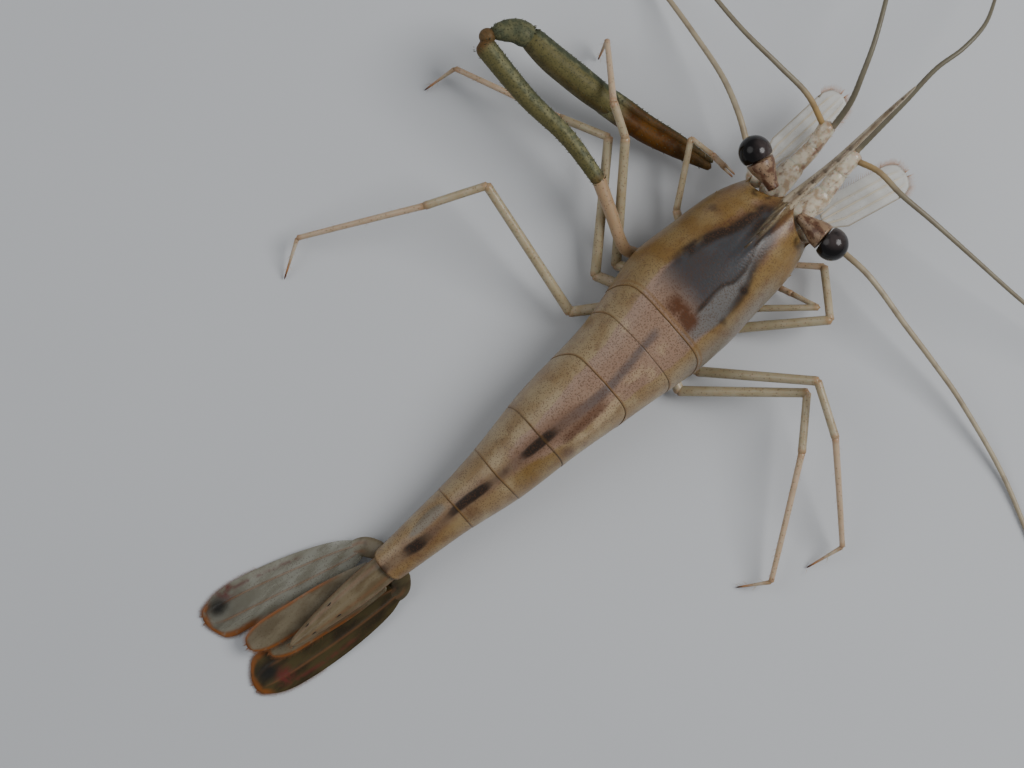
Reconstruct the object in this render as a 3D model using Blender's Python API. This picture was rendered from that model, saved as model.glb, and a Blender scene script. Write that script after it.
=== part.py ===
"""Amazon river prawn, still and life-size, lying on its underside.

Blender 4.5. Sizes below are millimetres and degrees; the mesh is written in metres.
+Y points to the head, +X to the prawn's right and +Z up. The floor is z = 0, and the
origin is the middle of the small flat under the thorax that the animal rests on.
"""

import math

import bmesh
import bpy
from mathutils import Matrix, Vector

# Scale and fits
MM = 0.001
GAP = 0.3
WELD = 0.001 * MM

# Body along its length: (y, value) pairs, tail to head
CENTRE_X = ((-53, 0.8), (-44, 1.05), (-34, 1.4), (-24, 1.0), (-12, 1.2), (-4, 0.7), (0, 0.3), (19, 0.2))
HALF_WIDTH = (
    (-53, 2.5), (-47, 3.0), (-41, 3.5), (-36, 4.2), (-30, 5.0), (-24, 5.7), (-18, 6.3), (-12, 6.9),
    (-8, 7.6), (-3, 8.5), (1, 8.8), (6, 8.35), (12, 7.8), (15, 7.1), (18, 5.9), (19.5, 5.2),
)
TOP_Z = (
    (-53, 6.9), (-47, 7.9), (-41, 9.0), (-34, 10.6), (-27, 12.4), (-21, 13.6), (-14, 14.0),
    (-5, 14.8), (2, 15.3), (9, 15.3), (15, 14.7), (19, 13.9),
)
ROLL = ((-53, 0), (-34, 0), (-24, 4), (-14, 5), (-4, 8), (6, 6), (14, 3), (19, 0))
ROLL_CENTRE = 0.55
SHOULDER = 0.62
FULLNESS = 2.15

# Plates: hind margins at the back's middle, shoulder, flank and lower edge
MARGINS = {
    "carapace": (-3.3, -3.6, -6.4, -5.8),
    "abdomen_1": (-8.0, -8.3, -9.8, -8.6),
    "abdomen_2": (-14.9, -15.3, -18.0, -17.2),
    "abdomen_3": (-26.0, -26.0, -26.6, -26.0),
    "abdomen_4": (-33.8, -33.7, -33.8, -34.0),
    "abdomen_5": (-40.8, -40.9, -41.1, -41.2),
    "abdomen_6": (-53.0, -53.0, -53.2, -53.2),
}
# Lower edge, roof of the hollow under the plate, widest level, lift of the lobe's two ends
PLEURA = {
    "abdomen_1": (4.9, 6.0, 7.4, 0.2),
    "abdomen_2": (1.9, 5.4, 6.6, 1.9),
    "abdomen_3": (1.9, 5.0, 6.4, 1.5),
    "abdomen_4": (2.0, 4.4, 5.6, 1.2),
    "abdomen_5": (2.2, 3.9, 4.8, 0.9),
    "abdomen_6": (2.4, 2.9, 4.6, 0.0),
}
PLATE_THICKNESS = 0.8
LIP = 0.22
TUCK = 0.12
PLATE_STEPS = (0.0, 0.12, 0.5, 0.86, 1.0)

# Carapace
CARAPACE_FRONT = (18.3, 18.1, 17.3, 17.2, 17.9, 17.5, 16.4, 15.0, 13.4)
CARAPACE_INNER_FRONT = 16.6
CARAPACE_EDGE = ((-7, 4.2), (-3, 3.7), (6, 3.6), (12, 4.0), (18, 5.6))
CARAPACE_ROOF = 5.7
CARAPACE_WIDEST = 8.0
CARAPACE_STEPS = (0.0, 0.07, 0.2, 0.36, 0.52, 0.68, 0.82, 0.93, 1.0)
CARINA_BACK_Y = 7.0
ORBIT_Y = 19.6

# Rostrum: (y, x, z, half height, half width)
ROSTRUM = (
    (19.6, 0.2, 14.2, 1.15, 1.0),
    (23.0, 0.2, 14.9, 1.35, 0.72),
    (27.0, 0.3, 15.7, 1.3, 0.6),
    (31.0, 0.2, 17.0, 1.0, 0.52),
    (35.0, 0.0, 18.8, 0.75, 0.42),
    (38.0, -0.1, 20.6, 0.5, 0.32),
    (40.0, -0.2, 22.0, 0.22, 0.2),
)
UPPER_TEETH = (13.6, 16.2, 18.8, 21.2, 23.4, 25.5, 27.6, 29.7, 36.4, 38.3)
LOWER_TEETH = (23.2, 25.2, 27.2, 29.2, 31.2, 33.2, 35.2, 37.0)
TOOTH_LENGTH = 1.5
TOOTH_HEIGHT = 0.85
TOOTH_WIDTH = 0.5
TOOTH_ROOT = 0.78

# Eyes
EYE_CENTRES = {"left": (-7.7, 20.4, 12.9), "right": (8.1, 19.8, 12.9)}
EYE_RADIUS = 2.25
STALK_BASE = (2.3, 19.1, 12.0)

# Feelers
PEDUNCLE_BASE = (2.3, 18.7, 9.3)
PEDUNCLES = {
    "left": ((-2.8, 23.6, 9.6), (-3.0, 26.9, 9.9), (-3.8, 30.2, 10.4)),
    "right": ((2.6, 24.0, 9.6), (1.9, 27.2, 9.9), (1.5, 30.3, 10.4)),
}
PEDUNCLE_RADII = (1.75, 1.45, 1.2, 1.05)
FLAGELLA = {
    "antennule_outer_left": (
        (-4.45, 30.85, 10.7), (-8.7, 30.6, 12.9), (-13.9, 30.0, 14.9), (-21.0, 29.4, 15.8),
        (-30.0, 30.0, 14.2), (-40.0, 31.5, 9.6), (-50.0, 34.0, 3.2),
    ),
    "antennule_inner_left": (
        (-3.35, 31.0, 10.7), (-4.2, 34.2, 12.9), (-5.9, 37.4, 14.9), (-8.0, 41.2, 15.7),
        (-11.2, 46.3, 15.0), (-16.0, 54.0, 11.4), (-22.0, 62.5, 5.0),
    ),
    "antennule_outer_right": (
        (2.15, 31.05, 10.75), (5.2, 31.0, 12.0), (9.3, 31.0, 13.0), (14.5, 31.8, 12.5),
        (22.0, 33.0, 10.6), (31.5, 34.6, 7.8), (42.0, 37.0, 4.6), (50.0, 40.0, 1.4),
    ),
    "antennule_inner_right": (
        (1.1, 30.95, 10.8), (0.9, 34.4, 12.2), (0.5, 39.6, 14.0), (0.0, 45.1, 15.0),
        (0.4, 49.5, 14.8), (0.0, 54.0, 13.6), (-1.6, 58.0, 11.2), (-5.0, 65.0, 5.5),
    ),
    "antenna_left": (
        (-8.9, 21.0, 6.9), (-12.8, 22.9, 7.5), (-18.0, 24.8, 6.6), (-24.0, 26.0, 4.9),
        (-32.0, 27.2, 2.6), (-42.0, 28.2, 0.9), (-52.0, 27.0, 0.28), (-61.0, 22.0, 0.26),
        (-68.0, 13.0, 0.26), (-72.0, 1.0, 0.26), (-74.3, -9.0, 0.26), (-75.5, -16.0, 0.26),
    ),
    "antenna_right": (
        (8.8, 20.9, 6.9), (14.8, 21.5, 7.5), (23.3, 21.0, 5.8), (30.0, 20.7, 4.1),
        (36.2, 20.2, 2.7), (47.3, 18.2, 0.9), (56.0, 15.4, 0.28), (66.0, 11.5, 0.26),
        (74.5, 4.5, 0.26), (80.5, -5.0, 0.26), (83.0, -16.0, 0.26), (82.0, -28.0, 0.26),
        (78.5, -39.0, 0.26), (73.0, -49.0, 0.26),
    ),
}
FLAGELLUM_RADII = (0.42, 0.34, 0.3, 0.24)
FLAGELLUM_STEP = 4.2

# Antennal bases and scales
ANTENNA_BASE = (5.1, 19.2, 6.9)
ANTENNA_BASE_RADIUS = 1.55
ANTENNA_JOINT = (8.3, 20.8, 6.8)
SCALE_ROOTS = {"left": (-5.3, 21.2, 7.0), "right": (5.1, 21.7, 7.0)}
SCALE_HEADINGS = {"left": -1.0, "right": 13.3}
SCALE_LENGTHS = {"left": 14.0, "right": 13.2}
SCALE_HALF_WIDTHS = {"left": 2.25, "right": 2.45}

# Underside of the thorax: (y, half width, lowest z)
STERNUM = ((-6.4, 3.9, 2.6), (-3.6, 4.6, 1.6), (-1.6, 4.7, 0.0), (1.6, 4.7, 0.0), (4.0, 4.6, 1.5),
           (9.0, 4.0, 1.7), (13.0, 3.2, 2.0), (16.4, 2.4, 3.2))
FLAT_HALF = 1.4
MAXILLIPED = ((2.1, 13.4, 1.5), (2.5, 17.6, 1.9), (2.4, 20.6, 3.0), (2.0, 23.2, 4.6))

# Walking legs: root on the sternum (y, level), then the joints out to the claw tip
LEG_RADII = ((0.85, 0.74), (0.72, 0.66), (0.56, 0.6), (0.48, 0.42), (0.36, 0.22))
LEGS = {
    "leg_3_left": ((-0.4, 2.4), ((-9.0, -2.4, 0.85), (-20.7, 9.2, 9.6), (-25.2, 11.0, 11.4),
                                 (-32.6, 16.9, 3.9), (-31.7, 14.6, 0.2))),
    "leg_4_left": ((-3.4, 2.4), ((-9.8, -5.6, 2.4), (-22.4, 7.8, 7.5), (-28.8, 4.9, 5.8),
                                 (-43.7, -1.0, 2.6), (-44.6, -6.1, 0.2))),
    "leg_5_left": ((-5.6, 3.0), ((-8.4, -11.6, 3.4), (-28.2, -8.9, 11.0), (-31.9, -16.8, 9.0),
                                 (-40.8, -32.6, 2.8), (-38.0, -37.9, 0.2))),
    "leg_3_right": ((-0.4, 2.4), ((8.2, 3.6, 1.4), (16.0, 13.9, 5.6), (10.2, 18.4, 3.4),
                                  (4.9, 13.4, 1.0), (4.4, 10.8, 0.2))),
    "leg_4_right": ((-3.4, 2.4), ((9.4, -3.9, 1.8), (20.6, 6.6, 10.4), (27.9, 3.4, 9.6),
                                  (40.5, -5.2, 2.6), (39.7, -10.8, 0.2))),
    "leg_5_right": ((-5.6, 3.0), ((9.7, -7.6, 1.9), (21.1, 4.8, 7.4), (26.7, -1.1, 7.0),
                                  (37.6, -15.7, 2.4), (35.2, -19.8, 0.2))),
}
# First legs end in a small pincer
PINCER_RADII = ((0.7, 0.55), (0.5, 0.46), (0.42, 0.42), (0.5, 0.46))
PINCER_FINGER = 1.9
PINCER_LEGS = {
    "leg_1_left": ((6.4, 2.6), ((-9.0, 8.5, 3.6), (-14.9, 16.1, 7.0), (-11.3, 16.7, 7.4), (-9.1, 16.9, 6.9))),
    "leg_1_right": ((6.4, 2.6), ((8.3, 7.8, 2.3), (13.7, 13.9, 5.2), (10.0, 12.7, 3.0), (8.5, 12.2, 1.9))),
    "leg_2_right": ((3.0, 2.4), ((6.3, 4.4, 0.95), (6.9, 7.2, 0.8), (6.9, 8.5, 0.8), (6.6, 9.6, 0.8))),
}

# Large left cheliped
ARM = ((-8.2, 0.6, 2.6), (-9.9, -0.3, 4.5), (-14.5, 1.3, 6.7), (-19.0, 3.0, 8.4))
ARM_RADII = (0.85, 0.85, 0.92, 1.0)
CARPUS = ((-19.6, 3.1, 8.7), (-26.0, 3.5, 9.5), (-33.2, 2.95, 10.2), (-43.0, 3.3, 10.9))
CARPUS_RADII = (1.0, 1.18, 1.35, 1.5)
KNUCKLE = ((-42.6, 5.65, 10.7), (-41.9, 6.8, 10.5), (-40.8, 7.95, 10.2), (-39.1, 8.75, 9.8))
KNUCKLE_RADII = (0.9, 1.5, 1.7, 1.55)
PALM = ((-39.4, 8.7, 9.85), (-35.5, 9.1, 8.6), (-32.1, 9.75, 7.6), (-28.8, 10.45, 6.5), (-25.3, 11.2, 5.3))
PALM_RADII = (1.6, 1.95, 2.05, 2.0, 1.75)
FIXED_FINGER = ((-26.6, 10.1, 5.3), (-20.4, 11.85, 4.2), (-15.9, 13.55, 3.7), (-10.3, 15.7, 3.6))
FIXED_RADII = (1.0, 1.0, 0.85, 0.4)
MOVING_FINGER = ((-24.4, 12.75, 4.85), (-20.85, 13.8, 4.3), (-16.3, 15.3, 3.8), (-10.8, 16.6, 3.6))
MOVING_RADII = (0.6, 0.6, 0.52, 0.3)
SPINULE_HEIGHT = 0.42
SPINULE_RADIUS = 0.28
SPINULE_PITCH = 1.5

# Tail fan
TELSON = ((-53.5, 1.9, 4.3, 6.4), (-57.5, 2.05, 4.25, 5.9), (-62.0, 1.7, 3.9, 5.2), (-66.5, 1.15, 3.6, 4.6),
          (-69.2, 0.75, 3.45, 4.2), (-70.6, 0.3, 3.4, 4.0))
TELSON_BEND_X = (0.85, 0.1)
TELSON_SPINES = (-63.4, -66.8)
EXOPODS = {"left": ((-3.5, -54.4), -163.3), "right": ((4.4, -54.5), -172.6)}
EXOPOD_LENGTH = 24.2
EXOPOD_OUTER = ((0, 1.0), (0.11, 2.1), (0.32, 2.95), (0.56, 3.3), (0.78, 3.1), (0.89, 2.5), (0.96, 1.6), (1.0, 0.9))
EXOPOD_INNER = ((0, 1.0), (0.2, 2.2), (0.4, 2.8), (0.56, 3.1), (0.7, 3.5), (0.8, 3.75), (0.87, 3.8), (0.93, 3.3),
                (1.0, 0.9))
EXOPOD_Z = (1.5, 0.0)
ENDOPODS = {"left": ((-0.1, -54.9), -169.8), "right": ((2.1, -55.1), -169.8)}
ENDOPOD_LENGTHS = {"left": 20.6, "right": 18.9}
ENDOPOD_HALF = 2.1
ENDOPOD_Z = {"left": (3.35, 1.9), "right": (2.55, 1.1)}
HIP_X = {"left": -1.3, "right": 3.0}
VANE_THICKNESS = 0.55
RIB_HEIGHT = 0.22

# Swimmerets: root y, level of the root, leaf length
PLEOPODS = {1: (-7.6, 5.6, 4.2), 2: (-11.6, 4.6, 7.6), 3: (-20.4, 4.2, 7.8), 4: (-29.2, 3.6, 6.6),
            5: (-36.6, 3.1, 5.4)}
PLEOPOD_SPREAD = 0.36
PLEOPOD_HALF = 0.22

# Shell colours (red, green, blue, roughness)
SHELL = (0.42, 0.33, 0.2, 0.3)
CLEAR = (0.7, 0.66, 0.55, 0.35)
LIMB = (0.62, 0.5, 0.34, 0.35)
GREEN = (0.18, 0.2, 0.1, 0.4)
DARK = (0.02, 0.02, 0.03, 0.08)
FAN = (0.4, 0.32, 0.22, 0.35)


def clear_scene():
    """Starts from an empty scene."""
    for obj in list(bpy.data.objects):
        bpy.data.objects.remove(obj)


def make_collection(name, hidden=False):
    """A collection under the scene; a hidden one holds pieces that are used up in unions."""
    group = bpy.data.collections.new(name)
    group.hide_render = hidden
    bpy.context.scene.collection.children.link(group)
    return group


def paint(obj, finish):
    """Gives an object its own Principled material."""
    material = bpy.data.materials.new(obj.name)
    material.use_nodes = True
    shader = material.node_tree.nodes["Principled BSDF"]
    shader.inputs["Base Color"].default_value = (*finish[:3], 1.0)
    shader.inputs["Roughness"].default_value = finish[3]
    shader.inputs["Metallic"].default_value = 0.0
    obj.data.materials.clear()
    obj.data.materials.append(material)


def along(table, y):
    """A smooth value at y from (y, value) pairs."""
    last = len(table) - 1
    if y <= table[0][0]:
        return table[0][1]
    if y >= table[last][0]:
        return table[last][1]
    i = max(k for k in range(last) if table[k][0] <= y)
    y0, a = table[i]
    y1, b = table[i + 1]
    before = table[max(i - 1, 0)]
    after = table[min(i + 2, last)]
    slope_a = (b - before[1]) / (y1 - before[0])
    slope_b = (after[1] - a) / (after[0] - y0)
    span = y1 - y0
    f = (y - y0) / span
    return (
        a * (2 * f**3 - 3 * f**2 + 1)
        + slope_a * span * (f**3 - 2 * f**2 + f)
        + b * (3 * f**2 - 2 * f**3)
        + slope_b * span * (f**3 - f**2)
    )


def body_point(y, across, z):
    """A point of the body, given square to it, once its roll is applied."""
    roll = math.radians(along(ROLL, y))
    pivot = ROLL_CENTRE * along(TOP_Z, y)
    x = along(CENTRE_X, y) + across * math.cos(roll) + (z - pivot) * math.sin(roll)
    return Vector((x, y, pivot - across * math.sin(roll) + (z - pivot) * math.cos(roll)))


def spread(values, side):
    """The value at side (0 on the back, 1 at the lower edge) of evenly spread values."""
    step = 1 / (len(values) - 1)
    return along([(k * step, value) for k, value in enumerate(values)], side)


def outer_point(y, turn, edge, widest, swell):
    """A point of a plate's outside; turn runs from -1 at the left edge to 1 at the right."""
    side = abs(turn)
    width = along(HALF_WIDTH, y) + swell
    top = along(TOP_Z, y) + swell
    if side <= SHOULDER:
        angle = side / SHOULDER * math.pi / 2
        across = width * math.sin(angle) ** (2 / FULLNESS)
        z = widest + (top - widest) * math.cos(angle) ** (2 / FULLNESS)
    else:
        down = (side - SHOULDER) / (1 - SHOULDER)
        across = width * (1 - TUCK * down**2)
        z = widest + (edge - widest) * down
    return body_point(y, math.copysign(across, turn), z)


def inner_point(y, turn, edge, roof, swell):
    """The partner of outer_point on the hollow under the plate."""
    side = abs(turn)
    width = along(HALF_WIDTH, y) + swell
    if side <= SHOULDER:
        across = (width - PLATE_THICKNESS) * side / SHOULDER
        z = roof
    else:
        down = (side - SHOULDER) / (1 - SHOULDER)
        across = width * (1 - TUCK * down**2) - PLATE_THICKNESS
        z = roof + (edge - roof) * down
    return body_point(y, math.copysign(across, turn), z)


def add_object(name, bm, group):
    """Makes an object from a bmesh in millimetres, with its faces pointing out."""
    bmesh.ops.recalc_face_normals(bm, faces=bm.faces)
    bmesh.ops.scale(bm, vec=(MM, MM, MM), verts=bm.verts)
    mesh = bpy.data.meshes.new(name)
    bm.to_mesh(mesh)
    bm.free()
    obj = bpy.data.objects.new(name, mesh)
    group.objects.link(obj)
    return obj


def loft(name, rings, group, paired=False):
    """Skins closed rings of points. Paired rings fold back on themselves, and their ends close in strips."""
    bm = bmesh.new()
    rows = [[bm.verts.new(point) for point in ring] for ring in rings]
    count = len(rows[0])
    for row, following in zip(rows, rows[1:]):
        for k in range(count):
            m = (k + 1) % count
            bm.faces.new((row[k], row[m], following[m], following[k]))
    for row in (rows[0], rows[-1]):
        if paired:
            for k in range(count // 2 - 1):
                bm.faces.new((row[k], row[k + 1], row[count - 2 - k], row[count - 1 - k]))
        else:
            bm.faces.new(row)
    return add_object(name, bm, group)


def tube(name, points, radii, group, resolution=2):
    """A round bar through the points, as a bevelled curve turned into a closed mesh."""
    curve = bpy.data.curves.new(name, "CURVE")
    curve.dimensions = "3D"
    curve.bevel_depth = MM
    curve.bevel_resolution = resolution
    curve.use_fill_caps = True
    spline = curve.splines.new("POLY")
    spline.points.add(len(points) - 1)
    for knot, point, radius in zip(spline.points, points, radii):
        knot.co = (*(Vector(point) * MM), 1.0)
        knot.radius = radius
    source = bpy.data.objects.new(name + "_curve", curve)
    group.objects.link(source)
    made = as_mesh(source, name, group)
    bpy.data.objects.remove(source)
    return made


def as_mesh(source, name, group):
    """The evaluated shape of an object as a welded mesh object."""
    scene_graph = bpy.context.evaluated_depsgraph_get()
    mesh = bpy.data.meshes.new_from_object(source.evaluated_get(scene_graph))
    bm = bmesh.new()
    bm.from_mesh(mesh)
    bmesh.ops.remove_doubles(bm, verts=bm.verts, dist=WELD)
    bmesh.ops.recalc_face_normals(bm, faces=bm.faces)
    bm.to_mesh(mesh)
    bm.free()
    obj = bpy.data.objects.new(name, mesh)
    obj.matrix_world = source.matrix_world
    group.objects.link(obj)
    return obj


def keep_largest(obj):
    """Leaves only the largest closed surface of a mesh."""
    bm = bmesh.new()
    bm.from_mesh(obj.data)
    left = set(bm.faces)
    shells = []
    while left:
        shell = {left.pop()}
        edge_of_search = list(shell)
        while edge_of_search:
            face = edge_of_search.pop()
            for edge in face.edges:
                for other in edge.link_faces:
                    if other in left:
                        left.remove(other)
                        shell.add(other)
                        edge_of_search.append(other)
        shells.append(shell)
    shells.sort(key=lambda shell: sum(face.calc_area() for face in shell))
    for shell in shells[:-1]:
        bmesh.ops.delete(bm, geom=list(shell), context="FACES")
    bm.to_mesh(obj.data)
    bm.free()


def split_faces(obj):
    """Splits a mesh's faces into triangles."""
    bm = bmesh.new()
    bm.from_mesh(obj.data)
    bmesh.ops.triangulate(bm, faces=bm.faces)
    bm.to_mesh(obj.data)
    bm.free()


def fuse(name, pieces, group, solver="EXACT"):
    """Joins closed mesh objects into one closed body."""
    for piece in pieces:
        split_faces(piece)
    base = pieces[0]
    others = make_collection(name + "_joined", hidden=True)
    for piece in pieces[1:]:
        others.objects.link(piece)
    union = base.modifiers.new("union", "BOOLEAN")
    union.operation = "UNION"
    union.operand_type = "COLLECTION"
    union.collection = others
    union.solver = solver
    joined = as_mesh(base, name, group)
    for piece in pieces:
        bpy.data.objects.remove(piece)
    bpy.data.collections.remove(others)
    joined.name = name
    keep_largest(joined)
    return joined


def press_flat(obj):
    """Sets what would reach under the floor on the floor."""
    for vertex in obj.data.vertices:
        vertex.co.z = max(vertex.co.z, 0.0)


def smooth_path(points, step):
    """Evenly spaced points on a smooth curve through the given ones."""
    knots = [Vector(p) for p in points]
    lengths = [0.0]
    for a, b in zip(knots, knots[1:]):
        lengths.append(lengths[-1] + (b - a).length)
    axes = [[(s, knot[i]) for s, knot in zip(lengths, knots)] for i in range(3)]
    count = max(2, round(lengths[-1] / step))
    return [Vector([along(axis, lengths[-1] * k / count) for axis in axes]) for k in range(count + 1)]


def taper(radii, count):
    """Radii for that many points, from a few evenly spread ones."""
    return [spread(radii, k / (count - 1)) for k in range(count)]


def bar(name, start, end, radii, group):
    """One limb segment: a bar with slightly rounded, swollen ends."""
    start = Vector(start)
    end = Vector(end)
    length = (end - start).length
    shoulder = min(0.25, 0.5 * radii[0] / length)
    waist = 0.92 * (radii[0] + radii[1]) / 2
    stops = ((0.0, 0.72 * radii[0]), (shoulder, radii[0]), (0.55, waist), (1 - shoulder, radii[1]),
             (1.0, 0.7 * radii[1]))
    points = [start.lerp(end, f) for f, _ in stops]
    return tube(name, points, [radius for _, radius in stops], group, resolution=1)


def cone(bm, place, direction, radius, height, sink, sides=5):
    """Adds a small closed spine that grows from place along direction, its root sunk in."""
    direction = Vector(direction).normalized()
    turn = direction.to_track_quat("Z", "Y").to_matrix().to_4x4()
    middle = Vector(place) + direction * (height - sink) / 2
    bmesh.ops.create_cone(
        bm, cap_ends=True, segments=sides, radius1=radius, radius2=0.12 * radius,
        depth=height + sink, matrix=Matrix.Translation(middle) @ turn,
    )


def vane(name, group, place, steps, slices):
    """A thin leaf: a grid given two faces, split into triangles that are alike on both.

    place(s, t, upper) gives the point at s (0 root, 1 tip) and t (-1 left, 1 right)."""
    bm = bmesh.new()
    bmesh.ops.create_grid(bm, x_segments=slices, y_segments=steps, size=1.0)
    lower = set(bm.verts)
    bmesh.ops.extrude_face_region(bm, geom=bm.faces[:])
    for face in [f for f in bm.faces if len({v in lower for v in f.verts}) == 1]:
        corners = sorted(face.verts, key=lambda v: (v.co.x + v.co.y))
        bmesh.utils.face_split(face, corners[0], corners[-1])
    for vertex in bm.verts:
        s = (vertex.co.y + 1) / 2
        vertex.co = place(s, vertex.co.x, vertex not in lower)
    return add_object(name, bm, group)


def heading_vectors(heading):
    """Forward and rightward unit vectors for a heading: 0 ahead, 90 to the prawn's right."""
    angle = math.radians(heading)
    forward = Vector((math.sin(angle), math.cos(angle), 0))
    return forward, Vector((forward.y, -forward.x, 0))


def side_sign(side):
    return -1 if side == "left" else 1


def mirrored(point, side):
    """A point given for the right side, on the side asked for."""
    return Vector((side_sign(side) * point[0], point[1], point[2]))


# Trunk


def plate(name, front, hind, steps, count, levels, group):
    """A body plate between two margins, hollow below, with its hind lip raised."""
    turns = [-1 + 2 * k / (count - 1) for k in range(count)]
    rings = []
    for step in steps:
        swell = LIP * (2 * step - 1)
        outside = []
        inside = []
        for turn in turns:
            y, inner_y = front(abs(turn)), min(front(abs(turn)), CARAPACE_INNER_FRONT)
            y += (hind(abs(turn)) - y) * step
            inner_y += (hind(abs(turn)) - inner_y) * step
            edge, roof, widest = levels(y, step)
            outside.append(outer_point(y, turn, edge, widest, swell))
            inside.append(inner_point(inner_y, turn, edge, roof, swell))
        rings.append(outside + inside[::-1])
    return loft(name, rings, group, paired=True)


def carina_ring(y, x, z, half_height, half_width):
    """One cross-section of the rostrum, a lens standing on edge with a side ridge."""
    corners = ((0, 1), (0.55, 0.45), (1, 0), (0.5, -0.5), (0, -1), (-0.5, -0.5), (-1, 0), (-0.55, 0.45))
    return [Vector((x + a * half_width, y, z + b * half_height)) for a, b in corners]


def rostrum_value(column, y):
    """A rostrum size at y; column 1 is x, 2 is z, 3 the half height and 4 the half width."""
    return along([(row[0], row[column]) for row in ROSTRUM], y)


def tooth(bm, y, base_z, x, up, size=1.0):
    """Adds one forward-leaning tooth of the rostrum's edge."""
    root = Vector((x, y, base_z))
    lean = Vector((0, 1.0, 0.75 * up))
    turn = lean.to_track_quat("Z", "Y").to_matrix().to_4x4()
    squash = Matrix.Diagonal((TOOTH_WIDTH / TOOTH_HEIGHT, 1.0, 1.0, 1.0))
    bmesh.ops.create_cone(
        bm, cap_ends=True, segments=4, radius1=TOOTH_HEIGHT * 0.62 * size, radius2=0.05,
        depth=TOOTH_LENGTH * size, matrix=Matrix.Translation(root) @ turn @ squash,
    )


def build_carapace(parts, cutters):
    def front(side):
        return spread(CARAPACE_FRONT, side)

    def hind(side):
        return spread(MARGINS["carapace"], side)

    def levels(y, step):
        return along(CARAPACE_EDGE, y), CARAPACE_ROOF, CARAPACE_WIDEST

    shell = plate("shell", front, hind, CARAPACE_STEPS, 17, levels, cutters)
    ridge_stations = (CARINA_BACK_Y, 12.0, 16.0, ORBIT_Y)
    rings = []
    for k, y in enumerate(ridge_stations):
        grown = k / (len(ridge_stations) - 1)
        crest = body_point(y, 0, along(TOP_Z, y))
        x = crest.x + (ROSTRUM[0][1] - crest.x) * grown
        z = crest.z - 0.9 + (ROSTRUM[0][2] - crest.z + 0.9) * grown
        half_height = 0.8 + (ROSTRUM[0][3] - 0.8) * grown
        half_width = 0.45 + (ROSTRUM[0][4] - 0.45) * grown
        rings.append(carina_ring(y, x, z, half_height, half_width))
    ridge = loft("ridge", rings, cutters)
    bm = bmesh.new()
    for y in [y for y in UPPER_TEETH if y < ORBIT_Y - TOOTH_LENGTH / 2]:
        crest = body_point(y, 0, along(TOP_Z, y))
        tooth(bm, y, crest.z + 0.05, crest.x * 0.6, 1)
    for side in (-1, 1):
        cone(bm, body_point(17.4, side * 5.6, 10.4), (side * 0.25, 1, 0.0), 0.42, 1.2, 0.9)
        cone(bm, body_point(13.2, side * 7.2, 9.0), (side * 0.5, 1, 0.1), 0.4, 0.9, 0.7)
    spines = add_object("spines", bm, cutters)
    carapace = fuse("carapace", [shell, ridge, spines], parts)
    paint(carapace, SHELL)


def build_rostrum(parts, cutters):
    rings = []
    for k, row in enumerate(ROSTRUM):
        start = row[0] + (GAP if k == 0 else 0)
        rings.append(carina_ring(start, *row[1:]))
    blade = loft("blade", rings, cutters)
    pieces = [blade]
    ahead = [y for y in UPPER_TEETH if y > ORBIT_Y + TOOTH_LENGTH / 2]
    for row, up in ((ahead, 1), (LOWER_TEETH, -1)):
        bm = bmesh.new()
        for y in row:
            size = min(1.0, 0.35 + 0.65 * rostrum_value(3, y))
            edge = rostrum_value(2, y) + up * TOOTH_ROOT * rostrum_value(3, y)
            tooth(bm, y, edge, rostrum_value(1, y), up, size)
        pieces.append(add_object("teeth", bm, cutters))
    rostrum = fuse("rostrum", pieces, parts)
    paint(rostrum, SHELL)


def build_abdomen(parts):
    names = list(MARGINS)
    for ahead, name in zip(names, names[1:]):
        edge_z, roof_z, widest_z, lift = PLEURA[name]

        def front(side, ahead=ahead):
            return spread(MARGINS[ahead], side) - GAP

        def hind(side, name=name):
            return spread(MARGINS[name], side)

        def levels(y, step, edge_z=edge_z, roof_z=roof_z, widest_z=widest_z, lift=lift):
            return edge_z + lift * abs(2 * step - 1) ** 2.5, roof_z, widest_z

        segment = plate(name, front, hind, PLATE_STEPS, 13, levels, parts)
        paint(segment, SHELL)


def build_thorax_underside(parts, cutters):
    """The sternum and mouth region inside the carapace, with the flat that the prawn rests on."""
    rings = []
    top = CARAPACE_ROOF - GAP
    for y, half, low in STERNUM:
        middle = (top + low) / 2
        flanks = [body_point(y, a, z) for a, z in ((-half, top), (half, top), (half + 0.2, middle))]
        left = body_point(y, -half - 0.2, middle)
        base = [Vector((s * FLAT_HALF, y, low)) for s in (1, -1)]
        lower = [body_point(y, s * 0.72 * half, low + 0.9) for s in (1, -1)]
        rings.append([*flanks, lower[0], base[0], base[1], lower[1], left])
    trunk = loft("trunk", rings, cutters)
    lip = tube("lip", [(0.2, 11.5, 2.2), (0.2, 14.0, 1.9), (0.2, 16.2, 2.6)], [0.8, 1.2, 0.8], cutters)
    underside = fuse("thorax_underside", [trunk, lip], parts)
    paint(underside, CLEAR)


# Head


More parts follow.
